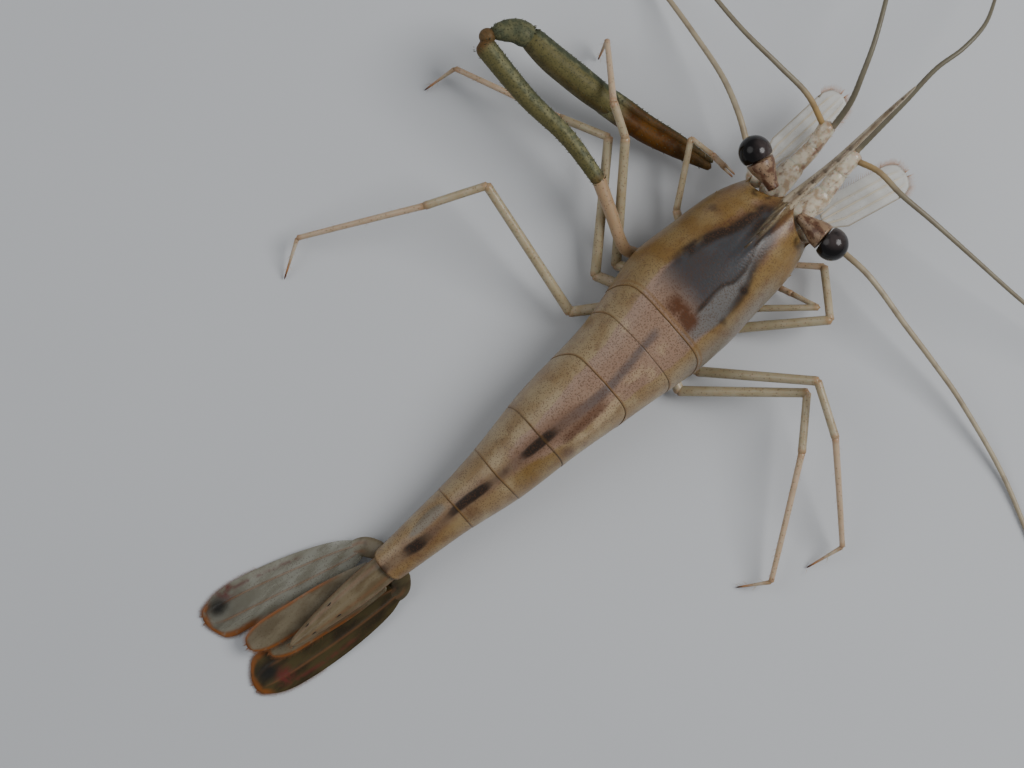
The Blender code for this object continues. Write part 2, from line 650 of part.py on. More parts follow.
def build_eyes(parts, cutters):
    for side, centre in EYE_CENTRES.items():
        centre = Vector(centre)
        base = mirrored(STALK_BASE, side)
        outward = (centre - base).normalized()
        cup = centre - outward * 0.55 * EYE_RADIUS
        stalk = tube(
            "eyestalk_" + side,
            [base, base.lerp(cup, 0.35), base.lerp(cup, 0.75), cup],
            [0.95, 1.15, 1.6, 1.8], parts,
        )
        paint(stalk, SHELL)
        bm = bmesh.new()
        turn = outward.to_track_quat("Z", "Y").to_matrix().to_4x4()
        bmesh.ops.create_uvsphere(
            bm, u_segments=16, v_segments=10, radius=EYE_RADIUS, matrix=Matrix.Translation(centre) @ turn,
        )
        cut = bmesh.ops.bisect_plane(
            bm, geom=bm.verts[:] + bm.edges[:] + bm.faces[:], dist=1e-4, plane_co=cup + outward * GAP,
            plane_no=-outward, clear_outer=True,
        )
        rim = [e for e in cut["geom_cut"] if isinstance(e, bmesh.types.BMEdge)]
        bmesh.ops.holes_fill(bm, edges=rim)
        paint(add_object("cornea_" + side, bm, parts), DARK)


def build_antennules(parts, cutters):
    for side, joints in PEDUNCLES.items():
        points = [mirrored(PEDUNCLE_BASE, side), *map(Vector, joints)]
        pieces = []
        for k, (a, b) in enumerate(zip(points, points[1:])):
            radii = (PEDUNCLE_RADII[k], PEDUNCLE_RADII[k + 1] * 1.05)
            pieces.append(bar("segment", a, b, radii, cutters))
        spike = bmesh.new()
        outer = side_sign(side)
        cone(spike, points[0] + Vector((outer * 1.5, 2.2, 0)), (outer * 0.3, 1, 0), 0.5, 2.4, 0.6)
        pieces.append(add_object("stylocerite", spike, cutters))
        peduncle = fuse("antennule_peduncle_" + side, pieces, parts)
        paint(peduncle, CLEAR)


def build_flagella(parts):
    for name, waypoints in FLAGELLA.items():
        path = smooth_path(waypoints, FLAGELLUM_STEP)
        radii = taper(FLAGELLUM_RADII, len(path))
        flagellum = tube(name + "_flagellum", path, radii, parts, resolution=1)
        press_flat(flagellum)
        paint(flagellum, LIMB)


def build_antenna_bases(parts, cutters):
    for side in ("left", "right"):
        knob_centre = mirrored(ANTENNA_BASE, side)
        joint = mirrored(ANTENNA_JOINT, side)
        knob = bmesh.new()
        bmesh.ops.create_icosphere(
            knob, subdivisions=2, radius=ANTENNA_BASE_RADIUS, matrix=Matrix.Translation(knob_centre),
        )
        pieces = [add_object("knob", knob, cutters), bar("joint", knob_centre, joint, (1.0, 0.85), cutters)]
        paint(fuse("antenna_base_" + side, pieces, parts), SHELL)


def scale_half_width(s, widest):
    """Half width of the antennal scale from its root to its rounded tip."""
    root = 0.5 + 0.5 * min(1.0, s / 0.22)
    tip = math.sqrt(max(0.0, 1 - max(0.0, (s - 0.8) / 0.2) ** 2))
    return widest * min(root, 0.5 + 0.5 * tip)


def build_scales(parts):
    for side, root in SCALE_ROOTS.items():
        forward, right = heading_vectors(SCALE_HEADINGS[side])
        start = Vector(root)
        outer = side_sign(side)
        length = SCALE_LENGTHS[side]
        widest = SCALE_HALF_WIDTHS[side]

        def place(s, t, upper, forward=forward, right=right, start=start, outer=outer, length=length, widest=widest):
            point = start + forward * length * s + right * t * scale_half_width(s, widest)
            outer_side = t * outer > 0.9
            if outer_side and s > 0.8:
                point -= forward * length * (s - 0.8) * 0.2
            rib = RIB_HEIGHT if abs(t * outer - 0.5) < 0.1 else 0.0
            thickness = VANE_THICKNESS - 0.12 * abs(t)
            point.z += 0.25 * math.cos(t * 1.2) - 0.5 * s
            if upper:
                point.z += thickness + rib
            return point

        paint(vane("antennal_scale_" + side, parts, place, 8, 4), CLEAR)


def build_maxillipeds(parts, cutters):
    for side in ("left", "right"):
        points = [mirrored(p, side) for p in MAXILLIPED]
        pieces = [bar("s", a, b, (0.62 - 0.08 * k, 0.56 - 0.1 * k), cutters)
                  for k, (a, b) in enumerate(zip(points, points[1:]))]
        paint(fuse("maxilliped_" + side, pieces, parts), LIMB)


# Legs


def leg_root(y, level, side):
    """Where a leg meets the side of the sternum."""
    half = along([(row[0], row[1]) for row in STERNUM], y)
    return body_point(y, side_sign(side) * (half + 0.2 + GAP + 0.25), level)


def build_legs(parts, cutters):
    for name, ((y, level), joints) in LEGS.items():
        side = name.split("_")[-1]
        points = [leg_root(y, level, side), *map(Vector, joints)]
        pieces = [bar("segment", a, b, radii, cutters) for a, b, radii in zip(points, points[1:], LEG_RADII)]
        leg = fuse(name, pieces, parts)
        press_flat(leg)
        paint(leg, LIMB)


def build_pincer_legs(parts, cutters):
    for name, ((y, level), joints) in PINCER_LEGS.items():
        side = name.split("_")[-1]
        points = [leg_root(y, level, side), *map(Vector, joints)]
        pieces = [bar("segment", a, b, radii, cutters) for a, b, radii in zip(points, points[1:], PINCER_RADII)]
        way = (points[-1] - points[-2]).normalized()
        across = way.cross(Vector((0, 0, 1))).normalized()
        for turn in (-1, 1):
            start = points[-1] - way * 0.35 + across * turn * 0.24
            tip = points[-1] + way * PINCER_FINGER + across * turn * 0.3
            pieces.append(bar("finger", start, tip, (0.24, 0.2), cutters))
        leg = fuse(name, pieces, parts)
        press_flat(leg)
        paint(leg, LIMB)


def spinule_rows(points, radii, turns):
    """Rows of small forward-leaning spines along a limb, at the given angles round it."""
    bm = bmesh.new()
    path = smooth_path(points, SPINULE_PITCH)
    for k in range(1, len(path) - 1):
        way = (path[k + 1] - path[k - 1]).normalized()
        level = Vector((way.y, -way.x, 0)).normalized()
        rise = level.cross(way)
        radius = spread(radii, k / (len(path) - 1))
        size = 0.85 + 0.3 * ((k * 7) % 5) / 4
        for turn in turns:
            angle = math.radians(turn)
            out = level * math.cos(angle) + rise * math.sin(angle)
            place = path[k] + out * radius * 0.96
            cone(bm, place, out + 0.6 * way, SPINULE_RADIUS, SPINULE_HEIGHT * size, 0.4, sides=4)
    return bm


def limb_with_spinules(name, points, radii, turns, extra, parts, cutters, finish):
    path = smooth_path(points, 2.4)
    stem = tube("stem", path, taper(radii, len(path)), cutters)
    spines = add_object("spinules", spinule_rows(points, radii, turns), cutters)
    limb = fuse(name, [stem, *extra, spines], parts)
    paint(limb, finish)


def build_cheliped(parts, cutters):
    root = leg_root(3.0, 2.4, "left")
    coxa = bar("coxa", root, ARM[0], (0.95, 0.9), cutters)
    limb_with_spinules("cheliped_left_arm", ARM, ARM_RADII, (), [coxa], parts, cutters, LIMB)
    limb_with_spinules("cheliped_left_carpus", CARPUS, CARPUS_RADII, (20, 160), [], parts, cutters, GREEN)
    extra = []
    for points, radii in ((KNUCKLE, KNUCKLE_RADII), (FIXED_FINGER, FIXED_RADII)):
        path = smooth_path(points, 1.6)
        extra.append(tube("extra", path, taper(radii, len(path)), cutters))
    limb_with_spinules("cheliped_left_palm", PALM, PALM_RADII, (-15, 165), extra, parts, cutters, GREEN)
    path = smooth_path(MOVING_FINGER, 2.6)
    moving = tube("cheliped_left_finger", path, taper(MOVING_RADII, len(path)), parts)
    paint(moving, GREEN)


# Tail fan and swimmerets


def telson_x(y):
    first, last = TELSON[0][0], TELSON[-1][0]
    f = (y - first) / (last - first)
    return TELSON_BEND_X[0] + (TELSON_BEND_X[1] - TELSON_BEND_X[0]) * f


def build_telson(parts, cutters):
    rings = []
    for y, half, low, high in TELSON:
        shape = ((-1, 0.25), (-0.75, 0.8), (0, 1.0), (0.75, 0.8), (1, 0.25), (0.8, 0.0), (-0.8, 0.0))
        rings.append([Vector((telson_x(y) + a * half, y, low + b * (high - low))) for a, b in shape])
    blade = loft("blade", rings, cutters)
    bm = bmesh.new()
    for y in TELSON_SPINES:
        half = along([(row[0], row[1]) for row in reversed(TELSON)], y)
        high = along([(row[0], row[3]) for row in reversed(TELSON)], y)
        for turn in (-1, 1):
            cone(bm, (telson_x(y) + turn * 0.6 * half, y, high - 0.25), (0, -1, 0.35), 0.25, 0.8, 0.3)
    spines = add_object("spines", bm, cutters)
    paint(fuse("telson", [blade, spines], parts), FAN)


def endopod_width(s, t):
    """Half width of an inner tail fan blade from its root to its rounded end."""
    root = 0.32 + 0.68 * math.sin(min(1.0, s / 0.45) * math.pi / 2)
    tip = math.sqrt(max(0.0, 1 - max(0.0, (s - 0.78) / 0.22) ** 2))
    return ENDOPOD_HALF * min(root, 0.12 + 0.88 * tip)


def fan_blade(name, root, heading, length, width, levels, ribs, parts):
    """A tail fan blade; width(s, t) is its half width on the side that t lies on."""
    forward, right = heading_vectors(heading)
    start = Vector((*root, 0))
    root_z, tip_z = levels

    def place(s, t, upper):
        point = start + forward * length * s + right * t * width(s, t)
        sink = min(1.0, s / 0.7)
        point.z = root_z + (tip_z - root_z) * (1 - (1 - sink) ** 1.6)
        if upper:
            rib = RIB_HEIGHT if any(abs(t - r) < 0.1 for r in ribs) and 0.25 < s < 0.9 else 0.0
            point.z += VANE_THICKNESS - 0.12 * abs(t) + rib
        return point

    return vane(name, parts, place, 12, 6)


def build_tail_fan(parts, cutters):
    build_telson(parts, cutters)
    for side in ("left", "right"):
        outer = side_sign(side)

        def exopod_width(s, t, outer=outer):
            return along(EXOPOD_INNER if t * outer > 0 else EXOPOD_OUTER, s)

        root, heading = EXOPODS[side]
        blade = fan_blade("blade", root, heading, EXOPOD_LENGTH, exopod_width, EXOPOD_Z, (0.333, -0.333), cutters)
        hip = bar("hip", (HIP_X[side], -54.0, 2.2), (*root, 2.0), (0.72, 0.8), cutters)
        knee = bar("knee", (*root, 1.9), Vector((*root, 1.7)) + heading_vectors(heading)[0] * 3.0, (0.8, 0.5), cutters)
        paint(fuse("uropod_exopod_" + side, [blade, hip, knee], parts), FAN)
        root, heading = ENDOPODS[side]
        endopod = fan_blade(
            "uropod_endopod_" + side, root, heading, ENDOPOD_LENGTHS[side], endopod_width, ENDOPOD_Z[side], (), parts,
        )
        paint(endopod, FAN)


def build_pleopods(parts, cutters):
    for number, (y, level, length) in PLEOPODS.items():
        for side in ("left", "right"):
            outer = side_sign(side)
            across = PLEOPOD_SPREAD * along(HALF_WIDTH, y)
            root = body_point(y, outer * across, level)
            elbow = Vector((root.x, y - 1.3, 2.2))
            half = PLEOPOD_HALF * along(HALF_WIDTH, y)
            stem = bar("stem", root, elbow, (0.6, 0.6), cutters)

            def place(s, t, upper, elbow=elbow, half=half, length=length):
                width = half * (0.35 + 0.65 * math.sin(min(1.0, 0.15 + 1.1 * s) * math.pi) ** 0.6)
                point = elbow + Vector((t * width, -length * s, 0))
                point.z = max(0.0, 1.9 - 3.0 * s)
                if upper:
                    point.z += 0.55
                return point

            leaf = vane("leaf", cutters, place, 6, 2)
            paint(fuse(f"pleopod_{number}_{side}", [stem, leaf], parts), CLEAR)


def main():
    clear_scene()
    parts = make_collection("amazon_river_prawn")
    cutters = make_collection("joined_pieces", hidden=True)
    build_carapace(parts, cutters)
    build_rostrum(parts, cutters)
    build_abdomen(parts)
    build_thorax_underside(parts, cutters)
    build_eyes(parts, cutters)
    build_antennules(parts, cutters)
    build_flagella(parts)
    build_antenna_bases(parts, cutters)
    build_scales(parts)
    build_maxillipeds(parts, cutters)
    build_legs(parts, cutters)
    build_pincer_legs(parts, cutters)
    build_cheliped(parts, cutters)
    build_tail_fan(parts, cutters)
    build_pleopods(parts, cutters)


main()
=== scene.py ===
# %% [markdown]
# # Amazon river prawn
#
# The solid model of this prawn already has every part at its real size and in its place.
# This notebook dresses it: each shell plate, limb, feeler and blade is modelled again with
# a thinner, smoother shape, and gets its own markings and finish.
#
# The first cell loads the solids. They show where each part sits, and they stay hidden
# behind the new pieces. The animal lies on the floor z = 0 with its head towards +Y and its
# right side towards +X. Sizes below are in millimetres and are written in metres at the end
# of each piece.

# %% Load the frame
import math
import random
from collections import namedtuple

import bmesh
import bpy
from mathutils import Matrix, Vector


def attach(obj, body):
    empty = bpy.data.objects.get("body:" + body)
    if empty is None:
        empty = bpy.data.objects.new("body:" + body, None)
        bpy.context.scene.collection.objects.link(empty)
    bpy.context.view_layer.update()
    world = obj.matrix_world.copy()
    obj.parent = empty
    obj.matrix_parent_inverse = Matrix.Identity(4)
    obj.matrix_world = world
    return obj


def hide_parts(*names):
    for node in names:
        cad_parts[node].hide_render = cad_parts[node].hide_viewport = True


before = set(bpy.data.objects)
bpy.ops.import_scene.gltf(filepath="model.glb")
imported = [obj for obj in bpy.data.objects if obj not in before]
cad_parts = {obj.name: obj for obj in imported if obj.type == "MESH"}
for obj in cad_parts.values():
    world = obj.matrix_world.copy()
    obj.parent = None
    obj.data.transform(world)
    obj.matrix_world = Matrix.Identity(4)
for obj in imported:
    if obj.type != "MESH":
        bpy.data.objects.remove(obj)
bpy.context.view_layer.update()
MM = 0.001

# %% [markdown]
# ## Camera
#
# The prawn is seen from straight above, with its head to the upper right. A camera that
# hangs over the back shows that view. Its turn about the vertical sets which way the body
# runs across the picture, and its lens follows from how much floor the picture shows.

# %% Camera
CAMERA_PLACE = (-6.31, -24.04, 300.0)
CAMERA_TURN = 48.16
FLOOR_SEEN = 141.5
SENSOR = 36.0
CLIP_START = 0.01

camera = bpy.data.objects.new("camera", bpy.data.cameras.new("camera"))
camera.location = Vector(CAMERA_PLACE) * MM
camera.rotation_euler = (0, 0, math.radians(CAMERA_TURN))
camera.data.sensor_width = SENSOR
camera.data.lens = SENSOR * CAMERA_PLACE[2] / FLOOR_SEEN
camera.data.clip_start = CLIP_START
bpy.context.scene.collection.objects.link(camera)
bpy.context.scene.camera = camera
print("lens:", round(camera.data.lens, 1))

# %% [markdown]
# ## Material helpers
#
# Real shell is never one flat colour. Each finish below is a small network of nodes, and
# these helpers keep the networks short. All patterns are measured in millimetres on the
# object's own coordinates, so a speckle is as large on a leg as on the back.

# %% Material helpers
COAT_ROUGHNESS = 0.15


def start_material(name, roughness, coat=0.0, gloss=0.4):
    """A new material with its shine set; returns the material, its tree and its shader."""
    material = bpy.data.materials.new(name)
    material.use_nodes = True
    shader = material.node_tree.nodes["Principled BSDF"]
    shader.inputs["Roughness"].default_value = roughness
    shader.inputs["Specular IOR Level"].default_value = gloss
    shader.inputs["Coat Weight"].default_value = coat
    shader.inputs["Coat Roughness"].default_value = COAT_ROUGHNESS
    return material, material.node_tree, shader


def feed(tree, socket, value):
    """Joins another node's output to a socket, or sets the socket to a plain value."""
    if isinstance(value, bpy.types.NodeSocket):
        tree.links.new(value, socket)
    else:
        socket.default_value = value


def calc(tree, operation, first, second=0.0):
    node = tree.nodes.new("ShaderNodeMath")
    node.operation = operation
    feed(tree, node.inputs[0], first)
    feed(tree, node.inputs[1], second)
    return node.outputs[0]


def step_up(tree, value, low, high):
    """0 below low, 1 above high and smooth between; low above high turns it round."""
    node = tree.nodes.new("ShaderNodeMapRange")
    node.interpolation_type = "SMOOTHSTEP"
    feed(tree, node.inputs[0], value)
    turned = low > high
    node.inputs[1].default_value = min(low, high)
    node.inputs[2].default_value = max(low, high)
    node.inputs[3].default_value = 1.0 if turned else 0.0
    node.inputs[4].default_value = 0.0 if turned else 1.0
    return node.outputs[0]


def blend(tree, amount, first, second):
    """The first colour turning into the second as amount goes from 0 to 1."""
    node = tree.nodes.new("ShaderNodeMix")
    node.data_type = "RGBA"
    feed(tree, node.inputs[0], amount)
    for socket, colour in ((node.inputs[6], first), (node.inputs[7], second)):
        feed(tree, socket, colour if isinstance(colour, bpy.types.NodeSocket) else (*colour, 1.0))
    return node.outputs[2]


def mark(tree, name):
    """A value painted on the mesh by the piece's own code."""
    node = tree.nodes.new("ShaderNodeAttribute")
    node.attribute_name = name
    return node.outputs["Fac"]


def lay(tree, colour, *layers):
    """Lays colours over one another; a layer says where it lies, how much it covers and its colour.

    Where it lies is the name of a painted value or another node's output."""
    for where, share, over in layers:
        place = mark(tree, where) if isinstance(where, str) else where
        colour = blend(tree, calc(tree, "MULTIPLY", place, share), colour, over)
    return colour


def strongest(tree, *names):
    """The largest of several painted values."""
    value = 0.0
    for name in names:
        value = calc(tree, "MAXIMUM", value, mark(tree, name))
    return value


def let_light_in(shader, weight, depth):
    """Lets some light pass through the piece's skin, to a depth in millimetres."""
    shader.inputs["Subsurface Weight"].default_value = weight
    shader.inputs["Subsurface Scale"].default_value = depth * MM


print("helpers for colour networks are ready")

# %% [markdown]
# ## Mottle, speckles and bump
#
# A few patterns do most of the work: a soft mottle and its patches for uneven colour, small
# round speckles for the pigment cells that dot a prawn's shell, and a bump for its faint
# grain. Two more helpers tear gaps into a painted value or make its border uneven.

# %% Mottle, speckles and bump
SPECK_SOFT = 0.4


def millimetres(tree, stretch=(1.0, 1.0, 1.0)):
    """Object coordinates in millimetres, stretched where a pattern is drawn out."""
    place = tree.nodes.new("ShaderNodeTexCoord")
    scale = tree.nodes.new("ShaderNodeMapping")
    scale.inputs["Scale"].default_value = [value / MM for value in stretch]
    tree.links.new(place.outputs["Object"], scale.inputs["Vector"])
    return scale.outputs["Vector"]


def mottle(tree, size, detail=2.0, stretch=(1.0, 1.0, 1.0)):
    node = tree.nodes.new("ShaderNodeTexNoise")
    tree.links.new(millimetres(tree, stretch), node.inputs["Vector"])
    node.inputs["Scale"].default_value = 1.0 / size
    node.inputs["Detail"].default_value = detail
    return node.outputs[0]


def patches(tree, size, detail=3.0, low=0.35, high=0.65, stretch=(1.0, 1.0, 1.0)):
    """Soft-edged patches: a mottle that is 0 below low and 1 above high."""
    return step_up(tree, mottle(tree, size, detail, stretch), low, high)


def broken(tree, name, size, low, high, detail=3.0):
    """A painted value with ragged gaps in it."""
    return calc(tree, "MULTIPLY", mark(tree, name), patches(tree, size, detail, low, high))


def ragged(tree, name, size, share, low, high, detail=2.0):
    """A painted value whose border a mottle makes uneven."""
    edge = calc(tree, "ADD", mark(tree, name), calc(tree, "MULTIPLY", mottle(tree, size, detail), share))
    return step_up(tree, edge, low, high)


def speckles(tree, spacing, radius):
    """1 inside small round dots about spacing apart."""
    node = tree.nodes.new("ShaderNodeTexVoronoi")
    tree.links.new(millimetres(tree), node.inputs["Vector"])
    node.inputs["Scale"].default_value = 1.0 / spacing
    rim = radius / spacing
    return step_up(tree, node.outputs["Distance"], (1 + SPECK_SOFT) * rim, (1 - SPECK_SOFT) * rim)


def bump(tree, shader, height, depth, strength=0.6):
    node = tree.nodes.new("ShaderNodeBump")
    node.inputs["Strength"].default_value = strength
    node.inputs["Distance"].default_value = depth * MM
    feed(tree, node.inputs["Height"], height)
    tree.links.new(node.outputs["Normal"], shader.inputs["Normal"])


print("patterns are ready")

# %% [markdown]
# ## Floor and light
#
# A plain pale floor and two large soft lamps over a pale surround give the even light of a
# small studio. The stronger lamp stands ahead of the prawn, so soft shadows fall to its
# left and behind it and gloss shows on the back.

# %% Floor and light
FLOOR_DROP = 0.05
FLOOR_HALF = 1500.0
FLOOR_PATCH = 60.0
FLOOR_SHADES = ((0.55, 0.56, 0.58), (0.6, 0.61, 0.62))
# Each lamp has its place, its width and its power.
LAMPS = {
    "key": ((190.0, 330.0, 420.0), 340.0, 2.25),
    "fill": ((-330.0, -200.0, 420.0), 420.0, 0.6),
}
SURROUND = (0.78, 0.81, 0.85)
SURROUND_STRENGTH = 0.36

bm = bmesh.new()
bmesh.ops.create_grid(bm, x_segments=1, y_segments=1, size=FLOOR_HALF * MM)
bmesh.ops.translate(bm, verts=bm.verts, vec=(0, 0, -FLOOR_DROP * MM))
floor_mesh = bpy.data.meshes.new("floor")
bm.to_mesh(floor_mesh)
bm.free()
floor = bpy.data.objects.new("floor", floor_mesh)
bpy.context.scene.collection.objects.link(floor)
floor_material, floor_tree, floor_shader = start_material("pale_floor", 0.75)
floor_colour = blend(floor_tree, mottle(floor_tree, FLOOR_PATCH), *FLOOR_SHADES)
feed(floor_tree, floor_shader.inputs["Base Color"], floor_colour)
floor.data.materials.append(floor_material)

for name, (place, size, power) in LAMPS.items():
    lamp = bpy.data.objects.new(name, bpy.data.lights.new(name, "AREA"))
    lamp.location = Vector(place) * MM
    lamp.data.shape = "DISK"
    lamp.data.size = size * MM
    lamp.data.energy = power
    lamp.rotation_euler = lamp.location.to_track_quat("Z", "Y").to_euler()
    bpy.context.scene.collection.objects.link(lamp)

world = bpy.data.worlds.new("surround")
world.use_nodes = True
world.node_tree.nodes["Background"].inputs[0].default_value = (*SURROUND, 1.0)
world.node_tree.nodes["Background"].inputs[1].default_value = SURROUND_STRENGTH
bpy.context.scene.world = world
print("lamps:", len(LAMPS))

# %% [markdown]
# ## Shapes from grids
#
# A shell plate is a curved sheet, and a limb is a long tube. Both start as a flat grid: its
# points are moved to the sheet or wrapped round the tube, and a wrapped grid is welded
# along its seam. The pieces' own marks, such as how near a point is to a joint, are stored
# with the points, where the materials read them.

# %% Shapes from grids
WELD_DISTANCE = 0.0005


def mark_layers(bm, names):
    """The layers that hold the points' named values, made where they are missing."""
    floats = bm.verts.layers.float
    return {name: floats.get(name) or floats.new(name) for name in names}


def put_grid(bm, place, steps, around, paint=None, weld=False):
    """Adds a grid whose points go to place(s, t), with s and t from 0 to 1.

    It has that many steps along s and that many around, along t. paint(s, t) gives the named
    values that are stored with each point."""
    layers = mark_layers(bm, paint(0.5, 0.5) if paint else ())
    grid = bmesh.ops.create_grid(bm, x_segments=around, y_segments=steps, size=0.5)["verts"]
    for vertex in grid:
        s = vertex.co.y + 0.5
        t = vertex.co.x + 0.5
        vertex.co = place(s, t)
        values = paint(s, t) if layers else {}
        for name, layer in layers.items():
            vertex[layer] = values[name]
    if weld:
        bmesh.ops.remove_doubles(bm, verts=grid, dist=WELD_DISTANCE)


def ease(value, low, high):
    """0 below low, 1 above high and smooth between."""
    share = min(1.0, max(0.0, (value - low) / (high - low)))
    return share * share * (3 - 2 * share)


def along(table, y):
    """A smooth value at y from (y, value) pairs."""
    last = len(table) - 1
    if y <= table[0][0]:
        return table[0][1]
    if y >= table[last][0]:
        return table[last][1]
    k = max(i for i in range(last) if table[i][0] <= y)
    (y0, a), (y1, b) = table[k], table[k + 1]
    before, after = table[max(k - 1, 0)], table[min(k + 2, last)]
    span = y1 - y0
    slope_a = span * (b - before[1]) / (y1 - before[0])
    slope_b = span * (after[1] - a) / (after[0] - y0)
    f = (y - y0) / span
    curve = (2 * f**3 - 3 * f**2 + 1, f**3 - 2 * f**2 + f, 3 * f**2 - 2 * f**3, f**3 - f**2)
    return a * curve[0] + slope_a * curve[1] + b * curve[2] + slope_b * curve[3]


def from_column(table, number, y):
    """The smooth value at y of one column of a table whose rows start with y."""
    return along([(row[0], row[number]) for row in table], y)


def evenly(values, share):
    """The smooth value at share (0 to 1) of evenly spread values."""
    return along([(k / (len(values) - 1), value) for k, value in enumerate(values)], share)


print("grid helpers are ready")

# %% [markdown]
# ## Finishing a piece
#
# Every piece ends the same way: its points go from millimetres to metres, its faces turn
# outwards, and it takes its material, rides on the body and stands for its solids.

# %% Finishing a piece
def finish(name, bm, material, nodes):
    """Makes the piece, and hides the solid parts it stands for."""
    bmesh.ops.scale(bm, vec=(MM, MM, MM), verts=bm.verts)
    bmesh.ops.recalc_face_normals(bm, faces=bm.faces)
    mesh = bpy.data.meshes.new(name)
    bm.to_mesh(mesh)
    bm.free()
    mesh.shade_smooth()
    piece = bpy.data.objects.new(name, mesh)
    bpy.context.scene.collection.objects.link(piece)
    piece.data.materials.append(material)
    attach(piece, "root")
    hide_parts(*nodes)
    print(name, "faces:", len(mesh.polygons))
    return piece


def outer_sign(side):
    """-1 for the left side and 1 for the right one."""
    return -1 if side == "left" else 1


def mirrored(point, side):
    """A point given for the right side, on the side asked for."""
    return Vector((outer_sign(side) * point[0], point[1], point[2]))


# %% [markdown]
# ## Tubes and bristles
#
# Limbs, feelers and stalks are tubes round a path. Each ring of the wrapped grid stands
# square to the path, and the two end rings shrink to a point, so that the tube is closed
# and rounded. Bristles and small spines are thin cones.

# %% Tubes and bristles
THINNEST_END = 0.05
SPINE_TIP = 0.08


def smooth_path(points, count):
    """That many evenly spaced points on a smooth curve through the given ones."""
    knots = [Vector(point) for point in points]
    lengths = [0.0]
    for a, b in zip(knots, knots[1:]):
        lengths.append(lengths[-1] + (b - a).length)
    axes = [[(s, knot[i]) for s, knot in zip(lengths, knots)] for i in range(3)]
    return [Vector([along(axis, lengths[-1] * k / (count - 1)) for axis in axes]) for k in range(count)]


def path_length(path):
    return sum((b - a).length for a, b in zip(path, path[1:]))


def across_tube(t):
    """How far across a tube a point is, from -1 to 1."""
    return math.cos(2 * math.pi * t)


def bell(value, width):
    """1 at nought, falling off smoothly to both sides."""
    return math.exp(-((value / width) ** 2))


def square_to(way):
    """The level and the rising direction square to a direction."""
    level = way.cross(Vector((0, 0, 1))).normalized()
    return level, level.cross(way)


def round_off(s, length, reach):
    """Shrinks a section to a point at both ends of its length, as on a rounded bar."""
    off = min(1.0, min(s, 1 - s) * length / reach)
    return math.sqrt(max(0.0, 1 - (1 - off) ** 2))


def put_tube(bm, path, radius, around=14, flat=1.0, marks=None, round_ends=True):
    """Adds a closed tube; radius(s) is its size along the path, and flat narrows it upwards."""
    total = path_length(path)
    last = len(path) - 1

    def place(s, t):
        k = round(s * last)
        level, rise = square_to((path[min(k + 1, last)] - path[max(k - 1, 0)]).normalized())
        size = radius(s)
        if round_ends:
            size *= round_off(s, total, max(size, THINNEST_END))
        elif k in (0, last):
            size = 0.0
        turn = 2 * math.pi * t
        return path[k] + size * (level * math.cos(turn) + rise * math.sin(turn) * flat)

    put_grid(bm, place, last, around, marks, weld=True)


def set_marks(points, layers, marks):
    for name, layer in layers.items():
        for point in points:
            point[layer] = marks[name]


def put_spine(bm, root, way, radius, length, sunk=0.1, segments=5, marks=None):
    """Adds a thin cone growing from root along way; marks are values for its points."""
    layers = mark_layers(bm, marks or {})
    way = Vector(way).normalized()
    turn = way.to_track_quat("Z", "Y").to_matrix().to_4x4()
    middle = Vector(root) + way * (length / 2 - sunk)
    made = bmesh.ops.create_cone(
        bm, cap_ends=True, segments=segments, radius1=radius, radius2=radius * SPINE_TIP, depth=length,
        matrix=Matrix.Translation(middle) @ turn,
    )
    set_marks(made["verts"], layers, marks)


def put_ball(bm, centre, radius, marks, segments=24):
    """Adds a ball; marks are values for its points."""
    layers = mark_layers(bm, marks)
    made = bmesh.ops.create_uvsphere(
        bm, u_segments=segments, v_segments=segments * 2 // 3, radius=radius,
        matrix=Matrix.Translation(centre),
    )
    set_marks(made["verts"], layers, marks)


print("tube and spine helpers are ready")

# %% [markdown]
# ## The trunk's shape
#
# The carapace and the tail plates share one smooth body. A few sizes along its length,
# the same ones that the solids have, say how wide and how high it is, how it bends and how
# it leans to one side. Every plate is cut from this one shape, so they nest as real ones do.

# %% The trunk's shape
CENTRE_X = ((-53, 0.8), (-44, 1.05), (-34, 1.4), (-24, 1.0), (-12, 1.2), (-4, 0.7), (0, 0.3), (19, 0.2))
HALF_WIDTH = (
    (-53, 2.5), (-47, 3.0), (-41, 3.5), (-36, 4.2), (-30, 5.0), (-24, 5.7), (-18, 6.3), (-12, 6.9),
    (-8, 7.6), (-3, 8.5), (1, 8.8), (6, 8.35), (12, 7.8), (15, 7.1), (18, 5.9), (19.5, 5.2),
)
TOP_Z = (
    (-53, 6.9), (-47, 7.9), (-41, 9.0), (-34, 10.6), (-27, 12.4), (-21, 13.6), (-14, 14.0),
    (-5, 14.8), (2, 15.3), (9, 15.3), (15, 14.7), (19, 13.9),
)
WIDEST_Z = ((-53, 4.6), (-44, 4.6), (-37, 4.8), (-30, 5.6), (-22, 6.4), (-12, 6.7), (-6, 7.4), (0, 8.0))
LEAN = ((-53, 0), (-34, 0), (-24, 4), (-14, 5), (-4, 8), (6, 6), (14, 3), (19, 0))
PIVOT = 0.55
SHOULDER = 0.62
FULLNESS = 2.15
TUCK = 0.12


def body_point(y, across, z):
    """A point given square to the body, once its lean is applied."""
    lean = math.radians(along(LEAN, y))
    pivot = PIVOT * along(TOP_Z, y)
    x = along(CENTRE_X, y) + across * math.cos(lean) + (z - pivot) * math.sin(lean)
    return Vector((x, y, pivot - across * math.sin(lean) + (z - pivot) * math.cos(lean)))


